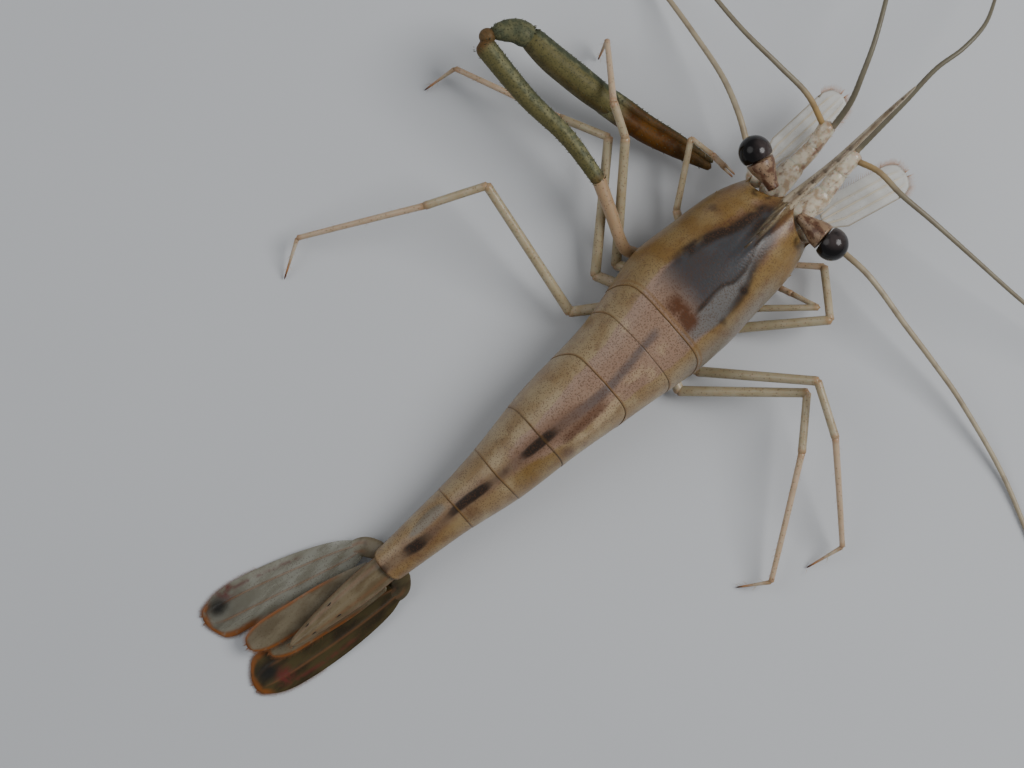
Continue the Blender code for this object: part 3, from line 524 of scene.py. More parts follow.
def shell_point(y, turn, edge, swell=0.0, crest=0.0):
    """A point of the shell; turn goes from -1, the left edge, over the back to 1, the right edge."""
    side = abs(turn)
    width = along(HALF_WIDTH, y) + swell
    widest = along(WIDEST_Z, y)
    if side <= SHOULDER:
        angle = side / SHOULDER * math.pi / 2
        across = width * math.sin(angle) ** (2 / FULLNESS)
        z = widest + (along(TOP_Z, y) + swell - widest) * math.cos(angle) ** (2 / FULLNESS) + crest
    else:
        down = (side - SHOULDER) / (1 - SHOULDER)
        across = width * (1 - TUCK * down**2)
        z = widest + (edge - widest) * down
    return body_point(y, math.copysign(across, turn), z)


def across_share(turn):
    """How far across the back a point is, -1 to 1, and beyond that down the flank."""
    side = abs(turn)
    if side <= SHOULDER:
        return math.copysign(math.sin(side / SHOULDER * math.pi / 2) ** (2 / FULLNESS), turn)
    return math.copysign(1 + (side - SHOULDER) / (1 - SHOULDER), turn)


print("trunk length:", TOP_Z[-1][0] - TOP_Z[0][0], "mm")

# %% [markdown]
# ## Markings of the shell
#
# The living shell is nearly clear, so what lies under it shows as markings: a dark
# window over the stomach, a rusty patch behind it, a paler pinkish back with speckles and
# the dark gut that runs down the middle of the tail. Each is drawn as a soft line or band
# along the body, as a distance across the back at a few places along it.

# %% Markings of the shell
WINDOW_LEFT = ((-2, -0.56), (2, -0.6), (7, -0.56), (12.2, -0.35), (16, -0.27), (18.4, -0.12))
WINDOW_RIGHT = (
    (-2, 0.5), (1, 0.56), (3.7, 0.57), (7.1, 0.5), (11, 0.29), (14, 0.22), (16, 0.12), (18.4, 0.05),
)
SEAM_LINE = ((0, 0.2), (4.8, 0.17), (6.9, 0.27), (9.9, 0.22), (12.7, 0.08), (16, 0.06))
BACK_LEFT = (
    (-53, -0.3), (-31.5, -0.36), (-25.4, -0.3), (-20.3, -0.41), (-12.4, -0.53), (-4, -0.62), (4, -0.6),
)
BACK_RIGHT = ((-53, 0.3), (-31, 0.4), (-23.3, 0.5), (-19.5, 0.5), (-11.1, 0.56), (-4, 0.56), (4, 0.5))
GUT = (
    (-54, -0.01), (-50, 0.08), (-46.9, 0.15), (-43.5, 0.1), (-40.5, 0.0), (-33.3, 0.08), (-22.9, 0.12),
    (-15.9, 0.14), (-8.1, -0.03), (-5.1, -0.06),
)
GUT_HALF = (
    (-54, 0.9), (-51.5, 0.7), (-48.5, 1.1), (-46, 0.9), (-44, 0.6), (-39, 0.9), (-34, 0.7), (-30.5, 0.7),
    (-27, 0.9), (-21, 0.9), (-15, 0.75), (-5, 0.6),
)
GUT_DEPTH = (
    (-54, 0.85), (-52.8, 0.5), (-51, 0.35), (-49.3, 0.8), (-47.3, 0.85), (-46, 0.55), (-43, 0.45),
    (-41.5, 0.75), (-39, 0.95), (-36.5, 0.95), (-34.5, 0.45), (-32, 0.5), (-30.5, 0.3), (-28.5, 0.9),
    (-25, 0.9), (-23, 0.5), (-20, 0.35), (-17, 0.15), (-12, 0.0), (-5, 0.0),
)
# The pale marks: pale patches of the shell, with painted highlights of the wet shell on them.
PALE_SHEEN_LINE = ((-14, 0.2), (-12, 0.26), (-8, 0.3))
PALE_SHEEN_PATCH = ((-23, 0.6), (-18, 0.55), (-14.5, 0.44))
RUST_LINE = ((-24, 0.46), (-21, 0.41), (-18, 0.36), (-16, 0.3))
LENS_LEFT = ((-48.5, -0.4), (-46.5, -0.6), (-43.5, -0.66), (-41.3, -0.5))
LENS_RIGHT = ((-48.5, -0.36), (-46.5, -0.2), (-43.5, -0.2), (-41.3, -0.3))


def between(y, a, left, right, soft):
    """1 between two lines along the body, fading over soft on each side."""
    width = along(HALF_WIDTH, y)
    past_left = ease((a - along(left, y)) * width, -soft, soft)
    return past_left * ease((along(right, y) - a) * width, -soft, soft)


def beside(y, a, line, half, soft):
    """1 within half of a line along the body, fading over soft."""
    off = abs(a - along(line, y)) * along(HALF_WIDTH, y)
    return 1 - ease(off, half, half + soft)


def spot(y, a, at_y, at_a, radius):
    """A soft round spot on the back."""
    off = math.hypot(y - at_y, (a - at_a) * along(HALF_WIDTH, y))
    return 1 - ease(off, 0.3 * radius, 1.2 * radius)


def spots(y, a, table):
    """The strongest of some soft round spots, each with its place, its radius and its strength."""
    return max(strength * spot(y, a, at_y, at_a, radius) for at_y, at_a, radius, strength in table)


def within(y, fade_in, fade_out):
    """1 along a stretch of the body, fading in and out between the two pairs of places."""
    return ease(y, *fade_in) * (1 - ease(y, *fade_out))


print("gut from", GUT[0][0], "to", GUT[-1][0])

# %% [markdown]
# ## Values painted on the plates
#
# These functions turn the lines into one value each for a point of the shell. The window
# is darkest in front, with a nearly black rim on its left. Right of a thin dark seam it is
# pale grey, the clear shell with a painted wet reflection on it. The gut is faint and blue
# under the first plates and nearly black behind them. Some pale patches carry painted
# highlights of the wet shell, and painted shade lies low on the right flank and, golden
# brown, on the right of the hind plates.

# %% Values painted on the plates
RIM_SPOTS = (
    (17.0, -0.62, 0.8, 1.0), (17.6, -0.42, 0.6, 1.0), (16.6, 0.72, 0.9, 1.0), (6.9, 0.5, 1.0, 1.0),
    (2.2, 0.6, 0.8, 0.6), (11.4, -0.82, 0.7, 0.5),
)
RUST_SPOTS = ((17.2, 0.4, 0.9, 0.7), (-24.5, 0.75, 1.2, 0.6), (-39.5, 0.55, 1.4, 0.5))
# Pale spots of the shell, partly painted highlights of the wet shell.
PALE_SHEEN_SPOTS = ((-9.6, 0.42, 1.3, 0.8), (-6.2, 0.22, 1.0, 0.8), (-8.0, -0.52, 1.1, 0.8))


def window_value(y, a):
    return between(y, a, WINDOW_LEFT, WINDOW_RIGHT, 0.35) * within(y, (-2.5, 3.0), (16.4, 18.0))


def rim_value(y, a):
    left = beside(y, a - 0.02, WINDOW_LEFT, 0.35, 0.75) * within(y, (1.0, 5.0), (16.0, 17.6))
    right = beside(y, a, WINDOW_RIGHT, 0.25, 0.7) * within(y, (1.5, 6.0), (13.0, 17.0))
    front = 1 - ease(math.hypot((y - 14.2) / 2.6, (a + 0.12) * 7.5 / 1.1), 0.5, 1.1)
    return max(left, 0.8 * right, 0.8 * front, spots(y, a, RIM_SPOTS))


# Pale grey right of the seam: the clear shell with a painted wet reflection on it.
def grey_sheen_value(y, a):
    width = along(HALF_WIDTH, y)
    past_seam = ease((a - along(SEAM_LINE, y)) * width, 0.1, 0.5)
    before_edge = ease((along(WINDOW_RIGHT, y) - a) * width, -0.35, 0.35)
    return before_edge * past_seam * within(y, (-4.6, -1.5), (12.5, 15.0))


def seam_value(y, a):
    return beside(y, a, SEAM_LINE, 0.16, 0.24) * within(y, (-0.5, 1.0), (15.0, 16.5))


def rust_value(y, a):
    """A patch across the back behind the window, its warm borders and a streak beside the gut."""
    middle = -1.1 - 2.6 * a * a
    patch = (1 - ease(abs(y - middle), 0.6, 1.7)) * within(a, (-0.36, -0.12), (0.26, 0.4))
    border = beside(y, a + 0.06, WINDOW_LEFT, 0.3, 1.0) * within(y, (6.0, 10.0), (18.0, 18.8))
    wedge = beside(y, a - 0.05, WINDOW_RIGHT, 0.3, 0.8) * ease(y, 9.0, 12.0)
    streak = beside(y, a, RUST_LINE, 0.3, 0.6) * within(y, (-25, -23), (-17.5, -15.5))
    return max(patch, 0.6 * border, 0.7 * wedge, 0.7 * streak, spots(y, a, RUST_SPOTS))


def chest_and_shade_value(y, a):
    """The golden brown of the chest, and the same brown as painted shade on the right flank of the third to
    sixth plate.
    """
    golden_shade = max(within(y, (-34, -31), (-27, -24)), 0.6 * (1 - ease(y, -42, -38)))
    return max(ease(y - (3.0 if a < 0 else 0.0) * a, -8.0, 3.0), ease(a, 0.15, 0.45) * golden_shade)


def back_value(y, a):
    fade = (1 - 0.6 * ease(y, 1.0, 5.0)) * (0.4 + 0.6 * ease(y, -34, -24))
    return between(y, a, BACK_LEFT, BACK_RIGHT, 0.9) * fade


def gut_band(y, a):
    half = along(GUT_HALF, y)
    return beside(y, a, GUT, 0.4 * half, 0.85 * half) * (1 - ease(y, -5.9, -4.3))


def gut_value(y, a):
    return gut_band(y, a) * (0.3 + 0.7 * ease(y, -24, -16))


def gut_dark_value(y, a):
    return gut_band(y, a) * along(GUT_DEPTH, y)


def gut_red_value(y, a):
    reach = along(GUT_HALF, y) * (1 - 0.4 * ease(y, -21, -17))
    return beside(y, a, GUT, 0.8 * reach, 1.3 * reach) * (1 - ease(y, -17.0, -13.0))


# Pale patches, and painted highlights where the wet shell reflects.
def pale_sheen_value(y, a):
    patch = beside(y, a, PALE_SHEEN_PATCH, 0.35, 0.5) * within(y, (-23.5, -21.5), (-15.5, -13.5))
    line = beside(y, a, PALE_SHEEN_LINE, 0.3, 0.5) * within(y, (-13.5, -12), (-9.5, -8.5))
    return max(patch, 0.72 * line, spots(y, a, PALE_SHEEN_SPOTS))


def lens_value(y, a):
    """A grey lens beside the gut on the sixth plate."""
    return between(y, a, LENS_LEFT, LENS_RIGHT, 0.25) * within(y, (-48.8, -47.6), (-42.2, -41.4))


def keel_value(y, a):
    across = abs(a) * along(HALF_WIDTH, y)
    return (1 - ease(across, 0.25, 0.6 + 0.7 * ease(y, 14.0, 18.0))) * ease(y, 10.5, 15.5)


def right_flank_shade_value(y, a):
    """Painted shade: a greyer tone low on the right flank."""
    return ease(a, 0.55, 0.9) * within(y, (-10.0, -3.0), (8.0, 14.0))


PLATE_MARKS = {
    "window": window_value, "rim": rim_value, "grey": grey_sheen_value, "seam": seam_value, "rust": rust_value,
    "chest": chest_and_shade_value, "back": back_value, "gut": gut_value, "gut_dark": gut_dark_value,
    "gut_red": gut_red_value, "pale": pale_sheen_value, "keel": keel_value, "cool": right_flank_shade_value,
    "lens": lens_value,
}
print("painted values:", ", ".join(PLATE_MARKS))

# %% [markdown]
# ## Shell material
#
# The shell mixes olive brown on the flanks with a pinkish grey back, then lays the painted
# values over it. Fine dark speckles cover all of it, larger red brown ones gather on the
# rust patch, and a thin coat gives the wet gloss. The grain is a shallow bump.

# %% Shell material
FLANK_OLIVE = (0.27, 0.175, 0.08)
FLANK_PALE = (0.35, 0.26, 0.14)
# Golden brown of the chest, also used as painted shade on the right flank of the hind plates.
CHEST_AND_SHADE_BROWN = (0.21, 0.118, 0.032)
CHEST_AND_SHADE_OLIVE = (0.26, 0.175, 0.07)
BACK_PINK = (0.3, 0.19, 0.135)
WINDOW_DARK = (0.03, 0.036, 0.044)
# Lighter blue-grey streaks in the window: a blue tint with painted highlight lines.
WINDOW_BLUE_SHEEN = (0.062, 0.069, 0.08)
WINDOW_WARM = (0.038, 0.036, 0.04)
# The clear shell right of the seam, with a painted wet reflection on it.
WINDOW_GREY_SHEEN = (0.155, 0.148, 0.138)
RUST = (0.095, 0.032, 0.009)
BLACK_BROWN = (0.022, 0.012, 0.006)
GUT_BLUE = (0.1, 0.082, 0.08)
GUT_RED = (0.13, 0.055, 0.025)
# Cream of the pale patches and of the painted wet-shell highlights.
PALE_SHEEN_CREAM = (0.46, 0.34, 0.2)
MARGIN_BROWN = (0.2, 0.1, 0.025)
KEEL_OLIVE = (0.26, 0.2, 0.11)
KEEL_DARK = (0.09, 0.065, 0.035)
# Painted shade low on the right flank.
RIGHT_FLANK_SHADE_GREY = (0.2, 0.178, 0.145)
LENS_GREY = (0.16, 0.145, 0.115)
SPECK_BROWN = (0.085, 0.035, 0.014)

shell, tree, shader = start_material("speckled_shell", 0.34, coat=0.12)
uneven = patches(tree, 3.5, low=0.35, high=0.68)
flank = blend(tree, uneven, FLANK_OLIVE, FLANK_PALE)
chest = blend(tree, uneven, CHEST_AND_SHADE_BROWN, CHEST_AND_SHADE_OLIVE)
depth = blend(tree, patches(tree, 4.5, 2.0, 0.45, 0.66), WINDOW_DARK, WINDOW_WARM)
# Streaks of blue tint and painted highlight lines along the window.
depth = lay(tree, depth, (patches(tree, 1.8, 4.0, 0.5, 0.72, stretch=(1.0, 0.4, 1.0)), 0.5, WINDOW_BLUE_SHEEN))
keel = blend(tree, patches(tree, 0.5, 3.0, 0.42, 0.58, stretch=(1.0, 0.12, 1.0)), KEEL_DARK, KEEL_OLIVE)
fine_dots = calc(tree, "MULTIPLY", speckles(tree, 0.26, 0.085), patches(tree, 4.0, 2.0, 0.1, 0.5))
dot_share = calc(tree, "ADD", mark(tree, "rust"), calc(tree, "MULTIPLY", mark(tree, "back"), 0.35))
large_dots = calc(tree, "MULTIPLY", speckles(tree, 0.36, 0.12), dot_share)
colour = lay(
    tree, flank,
    # the chest's colour, and painted shade on the right of the hind plates
    ("chest", 1.0, chest),
    # painted shade low on the right flank
    ("cool", 0.85, RIGHT_FLANK_SHADE_GREY),
    (patches(tree, 2.4, 4.0, 0.52, 0.7), 0.35, GUT_RED),
    (ragged(tree, "back", 2.2, 0.9, 0.75, 1.15, 4.0), 0.85, BACK_PINK),
    ("window", 0.95, depth),
    # pale grey right of the seam, with a painted wet reflection
    ("grey", 0.85, WINDOW_GREY_SHEEN),
    ("gut_red", 0.5, GUT_RED),
    ("gut", 0.75, GUT_BLUE),
    (ragged(tree, "gut_dark", 1.2, 0.3, 0.45, 1.05), 1.0, BLACK_BROWN),
    # pale patches with painted wet-shell highlights
    (broken(tree, "pale", 1.3, 0.3, 0.6), 0.75, PALE_SHEEN_CREAM),
    (broken(tree, "rust", 1.1, 0.1, 0.5), 1.0, RUST),
    (broken(tree, "rim", 2.2, 0.22, 0.5), 1.0, BLACK_BROWN),
    ("seam", 0.92, BLACK_BROWN),
    ("lens", 0.75, LENS_GREY),
    ("keel", 0.85, keel),
    (fine_dots, 0.6, SPECK_BROWN),
    (large_dots, 0.8, SPECK_BROWN),
    ("margin", 0.8, MARGIN_BROWN),
)
feed(tree, shader.inputs["Base Color"], colour)
let_light_in(shader, 0.08, 0.8)
shader.inputs["Subsurface Radius"].default_value = (0.9, 0.5, 0.3)
bump(tree, shader, mottle(tree, 0.3, 2.0), 0.04)
print("shell material nodes:", len(tree.nodes))

# %% [markdown]
# ## Plates
#
# A plate is a curved sheet between a front and a hind margin, thin at all of its edges. Its
# grid is laid on the trunk's shape and back along the inside. Each plate's front slides
# under the one ahead, and its hind rim ends in a thin brown line, as the real overlap does.

# %% Plates
PLATE_THICKNESS = 0.28
OVERLAP = 1.1
LIP = 0.035
TUCKED_UNDER = 0.36
TUCK_REACH = 0.95
MARGIN_LINE = 0.2


def plate_edge(levels, step):
    """How low the plate's side reaches: a rounded lobe, higher at both of its ends."""
    edge, lift = levels
    return edge + lift * abs(2 * step - 1) ** 2.5


def thin_out(distance, reach):
    """A thickness share that runs out to nothing at an edge."""
    return math.sqrt(max(0.0, 1 - (1 - min(1.0, max(0.0, distance) / reach)) ** 2))


def put_plate(
    bm, front, hind, levels, steps, around, tuck=0.0, crest=None, second_line=0.0, faint_middle=0.0,
):
    """Adds one closed plate; front and hind give its margins at a side from 0, the back, to 1, the edge.

    The grid runs over the outside and back along the inside, and both meet at thin edges."""
    def where(s, t):
        turn = 4 * t - 1 if t <= 0.5 else 3 - 4 * t
        return front(abs(turn)) * s + hind(abs(turn)) * (1 - s), turn

    def place(s, t):
        y, turn = where(s, t)
        ahead = front(abs(turn)) - y
        behind = y - hind(abs(turn))
        swell = LIP * bell(behind, 1.2) - tuck * (1 - ease(ahead, 0.0, TUCK_REACH))
        if t > 0.5:
            full = thin_out(ahead, 0.4) * thin_out(behind, 0.9) * thin_out(1 - abs(turn), 0.04)
            swell -= PLATE_THICKNESS * full
        ridge = crest(y, turn) if crest else 0.0
        return shell_point(y, turn, levels(y, 1 - s), swell, ridge)

    def paint(s, t):
        y, turn = where(s, t)
        share = across_share(turn)
        behind = y - hind(abs(turn))
        line = 1 - ease(behind / MARGIN_LINE, 0.6, 1.8)
        second = second_line * (1 - ease(abs(behind / MARGIN_LINE - 3.6), 0.5, 1.4))
        values = {name: value(y, share) for name, value in PLATE_MARKS.items()}
        faint = 1 - faint_middle * (1 - ease(abs(share), 0.55, 0.85))
        values["margin"] = max(line * faint, second, 0.3 * ease(abs(turn), 0.985, 0.997))
        return values

    put_grid(bm, place, steps, around, paint, weld=True)


MARGINS = {
    "carapace": (-3.3, -3.6, -6.4, -5.8),
    "abdomen_1": (-8.0, -8.3, -9.8, -8.6),
    "abdomen_2": (-14.9, -15.3, -18.0, -17.2),
    "abdomen_3": (-26.0, -26.0, -26.6, -26.0),
    "abdomen_4": (-33.8, -33.7, -33.8, -34.0),
    "abdomen_5": (-40.8, -40.9, -41.1, -41.2),
    "abdomen_6": (-53.9, -53.6, -52.8, -52.6),
}
LOBES = {
    "abdomen_1": (4.9, 0.2), "abdomen_2": (1.9, 1.9), "abdomen_3": (1.9, 1.5), "abdomen_4": (2.0, 1.2),
    "abdomen_5": (2.2, 0.9), "abdomen_6": (2.4, 0.0),
}
FAINT_MIDDLES = {"abdomen_1": 0.75, "abdomen_6": 0.6}
OVERLAP_LOW = -0.3


def tucked_front(ahead, side):
    """Where a plate starts under the one ahead of it: far under on the back, less on the flanks."""
    return evenly(MARGINS[ahead], side) + OVERLAP * (1 - ease(side, 0.6, 0.8)) + OVERLAP_LOW


names = list(MARGINS)
for ahead, name in zip(names, names[1:]):
    bm = bmesh.new()
    put_plate(
        bm,
        front=lambda side: tucked_front(ahead, side),
        hind=lambda side: evenly(MARGINS[name], side),
        levels=lambda y, step: plate_edge(LOBES[name], step),
        steps=44, around=208, tuck=TUCKED_UNDER, faint_middle=FAINT_MIDDLES.get(name, 0.0),
    )
    finish(name, bm, shell, [name])

# %% [markdown]
# ## Carapace
#
# The carapace covers the head and chest in one piece. Its crest rises towards the head and
# carries the first teeth of the rostrum, and a spine stands on each side behind the
# feelers. The front edge dips where the eyestalks come out.

# %% Carapace
CARAPACE_FRONT = (
    21.6, 19.2, 18.2, 17.6, 17.3, 17.2, 17.2, 17.5, 17.9, 17.7, 17.5, 17.0, 16.4, 15.7, 15.0, 14.2, 13.4,
)
CARAPACE_EDGE = ((-7, 4.2), (-3, 3.7), (6, 3.6), (12, 4.0), (18, 5.6))
CREST_TEETH = (11.2, 13.6, 16.0, 18.3)
CREST_HEIGHT = 1.3
# Each side spine has its place along, across and up, how far it leans out and up, its radius and length.
SIDE_SPINES = ((17.0, 5.6, 10.4, 0.25, 0.0, 0.4, 1.7), (12.6, 7.2, 9.0, 0.35, 0.1, 0.36, 1.4))


def crest(y, turn):
    """The keel in the middle of the back."""
    across = across_share(turn) * along(HALF_WIDTH, y)
    return CREST_HEIGHT * ease(y, 6.0, 18.3) * bell(across, 0.42 + 0.4 * ease(y, 12.0, 18.0))


bm = bmesh.new()
put_plate(
    bm,
    front=lambda side: evenly(CARAPACE_FRONT, side),
    hind=lambda side: evenly(MARGINS["carapace"], side),
    levels=lambda y, step: along(CARAPACE_EDGE, y),
    steps=130, around=280, crest=crest, second_line=0.7,
)
for y in CREST_TEETH:
    top = shell_point(y, 0.0, 0.0, crest=crest(y, 0.0))
    root = top - Vector((0, 0.3, 0.2))
    put_spine(
        bm, root, (0, 1.0, 0.3), radius=0.24, length=1.4, sunk=0.3, segments=8,
        marks={"chest": 1.0, "keel": 1.0},
    )
for outer in (-1, 1):
    for y, across, z, lean_out, lean_up, radius, length in SIDE_SPINES:
        root = body_point(y, outer * across, z)
        way = (outer * lean_out, 1, lean_up)
        put_spine(bm, root, way, radius, length, sunk=0.3, segments=8, marks={"chest": 1.0})
finish("carapace", bm, shell, ["carapace"])

# %% [markdown]
# ## Rostrum
#
# The rostrum is the long toothed blade between the eyes, standing on edge and curving up at
# its tip. Its section is a thin lens with a ridge on each side. Ten teeth point forwards
# along the top and eight along the bottom, smaller towards the tip.

# %% Rostrum
# Each row has its place along, then x, z, the half height and the half width.
ROSTRUM = (
    (18.2, 0.2, 14.1, 1.0, 0.95), (19.6, 0.2, 14.2, 1.15, 0.95), (23.0, 0.2, 14.9, 1.3, 0.66),
    (27.0, 0.3, 15.7, 1.25, 0.54), (31.0, 0.2, 17.0, 0.95, 0.46), (35.0, 0.0, 18.8, 0.7, 0.36),
    (38.0, -0.1, 20.6, 0.45, 0.26), (40.0, -0.2, 22.0, 0.18, 0.12),
)
# The share of its length over which each end is rounded.
ROSTRUM_ROUNDED = 1 / 55
UPPER_TEETH = (21.2, 23.4, 25.5, 27.6, 29.7, 36.4, 38.3)
LOWER_TEETH = (23.2, 25.2, 27.2, 29.2, 31.2, 33.2, 35.2, 37.0)
TOOTH_LENGTH = 1.55
TOOTH_RADIUS = 0.3


def rostrum_place(s, t):
    y = ROSTRUM[0][0] + (ROSTRUM[-1][0] - ROSTRUM[0][0]) * s
    turn = 2 * math.pi * t
    closing = round_off(s, 1.0, ROSTRUM_ROUNDED)
    side = math.copysign(abs(math.sin(turn)) ** 1.5, math.sin(turn))
    x, z, high, wide = (from_column(ROSTRUM, number, y) for number in (1, 2, 3, 4))
    return Vector((x + closing * wide * side, y, z + closing * high * math.cos(turn)))


bm = bmesh.new()
put_grid(
    bm, rostrum_place, steps=120, around=32, paint=lambda s, t: {"blade": abs(across_tube(t))}, weld=True,
)
for row, up in ((UPPER_TEETH, 1), (LOWER_TEETH, -1)):
    for y in row:
        x, z, high = (from_column(ROSTRUM, number, y) for number in (1, 2, 3))
        size = min(1.0, 0.4 + 0.6 * high)
        root = (x, y - 0.3, z + up * 0.85 * high)
        way = (0, 1.0, 0.5 * up)
        put_spine(
            bm, root, way, TOOTH_RADIUS * size, TOOTH_LENGTH * size, sunk=0.3, segments=8,
            marks={"blade": 1.0},
        )

HORN_DARK = (0.27, 0.2, 0.115)
HORN_PALE = (0.5, 0.42, 0.3)
HORN_EDGE = (0.12, 0.075, 0.05)
horn, tree, shader = start_material("rostrum_horn", 0.35, coat=0.2)
streaks = patches(tree, 0.9, stretch=(1.0, 0.35, 1.0))
colour = lay(
    tree, blend(tree, streaks, HORN_DARK, HORN_PALE),
    (step_up(tree, mark(tree, "blade"), 0.72, 0.95), 0.55, HORN_EDGE),
    (speckles(tree, 0.5, 0.12), 0.6, SPECK_BROWN),
)
feed(tree, shader.inputs["Base Color"], colour)
bump(tree, shader, mottle(tree, 0.35, 2.0, stretch=(1.0, 0.4, 1.0)), 0.05)
finish("rostrum", bm, horn, ["rostrum"])

# %% [markdown]
# ## Body under the shell
#
# Under the plates lies the soft body. It fills the shell from inside, shows between the
# swimmerets and under the chest, and ends in the small flat that the prawn rests on. It is
# one closed tube that is wide inside the shell and narrow at the chest.

# %% Body under the shell
BELLY_Z = (
    (-52.6, 3.6), (-47, 3.3), (-41, 3.8), (-34, 4.5), (-26, 5.1), (-18, 5.5), (-9, 5.9), (-7.0, 5.7),
    (-6.3, 2.8), (-3.6, 1.6), (-1.6, 0.0), (1.6, 0.0), (4.0, 1.5), (9.0, 1.7), (13.0, 2.0), (16.4, 3.4),
)
CHEST_HALF = (
    (-52.6, 2.0), (-41, 2.9), (-26, 4.4), (-9, 5.6), (-7.0, 5.2), (-6.3, 3.9), (-3.6, 4.6), (4, 4.6),
    (9, 4.0), (13, 3.2), (16.4, 2.4),
)
BODY_INSET = 0.75
BODY_END = 1.2
FOLD_DEPTH = 0.08
FOLD_STEP = 1.7
FLESH_DARK = (0.36, 0.27, 0.17)
FLESH_PALE = (0.46, 0.38, 0.27)


def body_place(s, t):
    y = BELLY_Z[0][0] + (BELLY_Z[-1][0] - BELLY_Z[0][0]) * s
    closing = round_off(s, BELLY_Z[-1][0] - BELLY_Z[0][0], BODY_END)
    turn = 2 * math.pi * t
    wide = along(HALF_WIDTH, y) - BODY_INSET
    level = along(WIDEST_Z, y)
    low = along(BELLY_Z, y)
    up = math.cos(turn)
    side = math.copysign(abs(math.sin(turn)) ** 0.9, math.sin(turn))
    if up >= 0:
        z = level + (along(TOP_Z, y) - BODY_INSET - level) * up**0.9
    else:
        z = level + (low - level) * abs(up) ** 0.7
        wide += (along(CHEST_HALF, y) - wide) * ease(-up, 0.0, 0.35)
    folds = FOLD_DEPTH * math.sin(2 * math.pi * y / FOLD_STEP) if up < 0 else 0.0
    point = body_point(y, (wide * side + folds * side) * closing, level + (z - level) * closing)
    return Vector((point.x, point.y, max(point.z, 0.0 if up < 0 else low)))


bm = bmesh.new()
put_grid(bm, body_place, steps=230, around=60, weld=True)
flesh, tree, shader = start_material("pale_flesh", 0.42, coat=0.15)
colour = lay(
    tree, blend(tree, patches(tree, 2.0), FLESH_DARK, FLESH_PALE),
    (speckles(tree, 0.6, 0.11), 0.5, SPECK_BROWN),
)
feed(tree, shader.inputs["Base Color"], colour)
let_light_in(shader, 0.15, 1.5)
bump(tree, shader, mottle(tree, 0.5, 3.0), 0.08)
finish("body_skin", bm, flesh, ["thorax_underside"])

# %% [markdown]
# ## Eyes
#
# Each eye is a glossy black ball of tiny facets on a short stalk that widens towards it.
# The stalk is beige with brown streaks. On the side towards the rostrum the ball carries a
# soft brownish painted reflection.

# %% Eyes
EYES = {"left": (-7.7, 20.4, 12.9), "right": (8.1, 19.8, 12.9)}
EYE_RADIUS = 2.25
STALK_BASE = (2.3, 19.1, 12.0)
STALK_STEPS = 24
STALK_RADII = (0.8, 0.95, 1.35, 1.78, 1.9)
EYE_GAP = 0.12
FACET_SIZE = 0.12
EYE_BLACK = (0.004, 0.003, 0.003)
# A soft brownish painted reflection on the side of the eye towards the rostrum.
EYE_GLINT = (0.05, 0.038, 0.036)
STALK_BEIGE = (0.27, 0.175, 0.105)
STALK_BROWN = (0.12, 0.055, 0.03)
# The way each eye's painted reflection faces.
GLINT_WAY = {"left": Vector((0.4, 0.65, 0.65)), "right": Vector((-0.35, 0.5, 0.8))}

cornea, tree, shader = start_material("eye_black", 0.14, coat=0.15, gloss=0.25)
# Black cornea with its painted reflection.
colour = blend(tree, broken(tree, "eye_glint", 1.4, 0.2, 0.6, 2.0), EYE_BLACK, EYE_GLINT)
feed(tree, shader.inputs["Base Color"], colour)
facets = tree.nodes.new("ShaderNodeTexVoronoi")
tree.links.new(millimetres(tree), facets.inputs["Vector"])
facets.inputs["Scale"].default_value = 1.0 / FACET_SIZE
bump(tree, shader, facets.outputs["Distance"], 0.012, 0.4)

stalk, tree, shader = start_material("stalk_beige", 0.4, coat=0.2)
streaks = patches(tree, 0.8, 3.0, 0.45, 0.6, stretch=(0.4, 1.0, 1.0))
colour = lay(
    tree, blend(tree, streaks, STALK_BEIGE, STALK_BROWN),
    (speckles(tree, 0.4, 0.1), 0.7, BLACK_BROWN),
)
feed(tree, shader.inputs["Base Color"], colour)
bump(tree, shader, mottle(tree, 0.4, 2.0), 0.05)

for side, centre in EYES.items():
    centre = Vector(centre)
    base = mirrored(STALK_BASE, side)
    outward = (centre - base).normalized()
    cup = centre - outward * 0.5 * EYE_RADIUS
    bm = bmesh.new()
    path = [base.lerp(cup, k / STALK_STEPS) for k in range(STALK_STEPS + 1)]
    put_tube(bm, path, lambda s: evenly(STALK_RADII, s), around=32, round_ends=False)
    finish("eyestalk_" + side, bm, stalk, ["eyestalk_" + side])
    bm = bmesh.new()
    turn = outward.to_track_quat("Z", "Y").to_matrix().to_4x4()
    eye_glint = mark_layers(bm, ["eye_glint"])["eye_glint"]
    bmesh.ops.create_uvsphere(
        bm, u_segments=64, v_segments=40, radius=EYE_RADIUS, matrix=Matrix.Translation(centre) @ turn,
    )
    cut = bmesh.ops.bisect_plane(
        bm, geom=bm.verts[:] + bm.edges[:] + bm.faces[:], dist=1e-4, plane_co=cup + outward * EYE_GAP,
        plane_no=-outward, clear_outer=True,
    )
    bmesh.ops.holes_fill(bm, edges=[e for e in cut["geom_cut"] if isinstance(e, bmesh.types.BMEdge)])
    # The painted reflection is strongest where the ball faces its glint's way.
    for vertex in bm.verts:
        vertex[eye_glint] = ease((vertex.co - centre).normalized().dot(GLINT_WAY[side]), 0.35, 0.9)
    finish("cornea_" + side, bm, cornea, ["cornea_" + side])

# %% [markdown]
# ## Joined limbs
#
# Legs, feeler stems and mouth legs are rows of segments. Each is a slightly bowed tube a
# little thicker at both ends, and its rounded ends reach into the next segments, as at a
# real joint. The joints carry faint orange brown rings and the claws have dark tips.

# %% Joined limbs
COLLAR = 0.07
COLLAR_REACH = 0.9
SOCKET = 0.7
STEP = 0.4
HAIR = 0.035


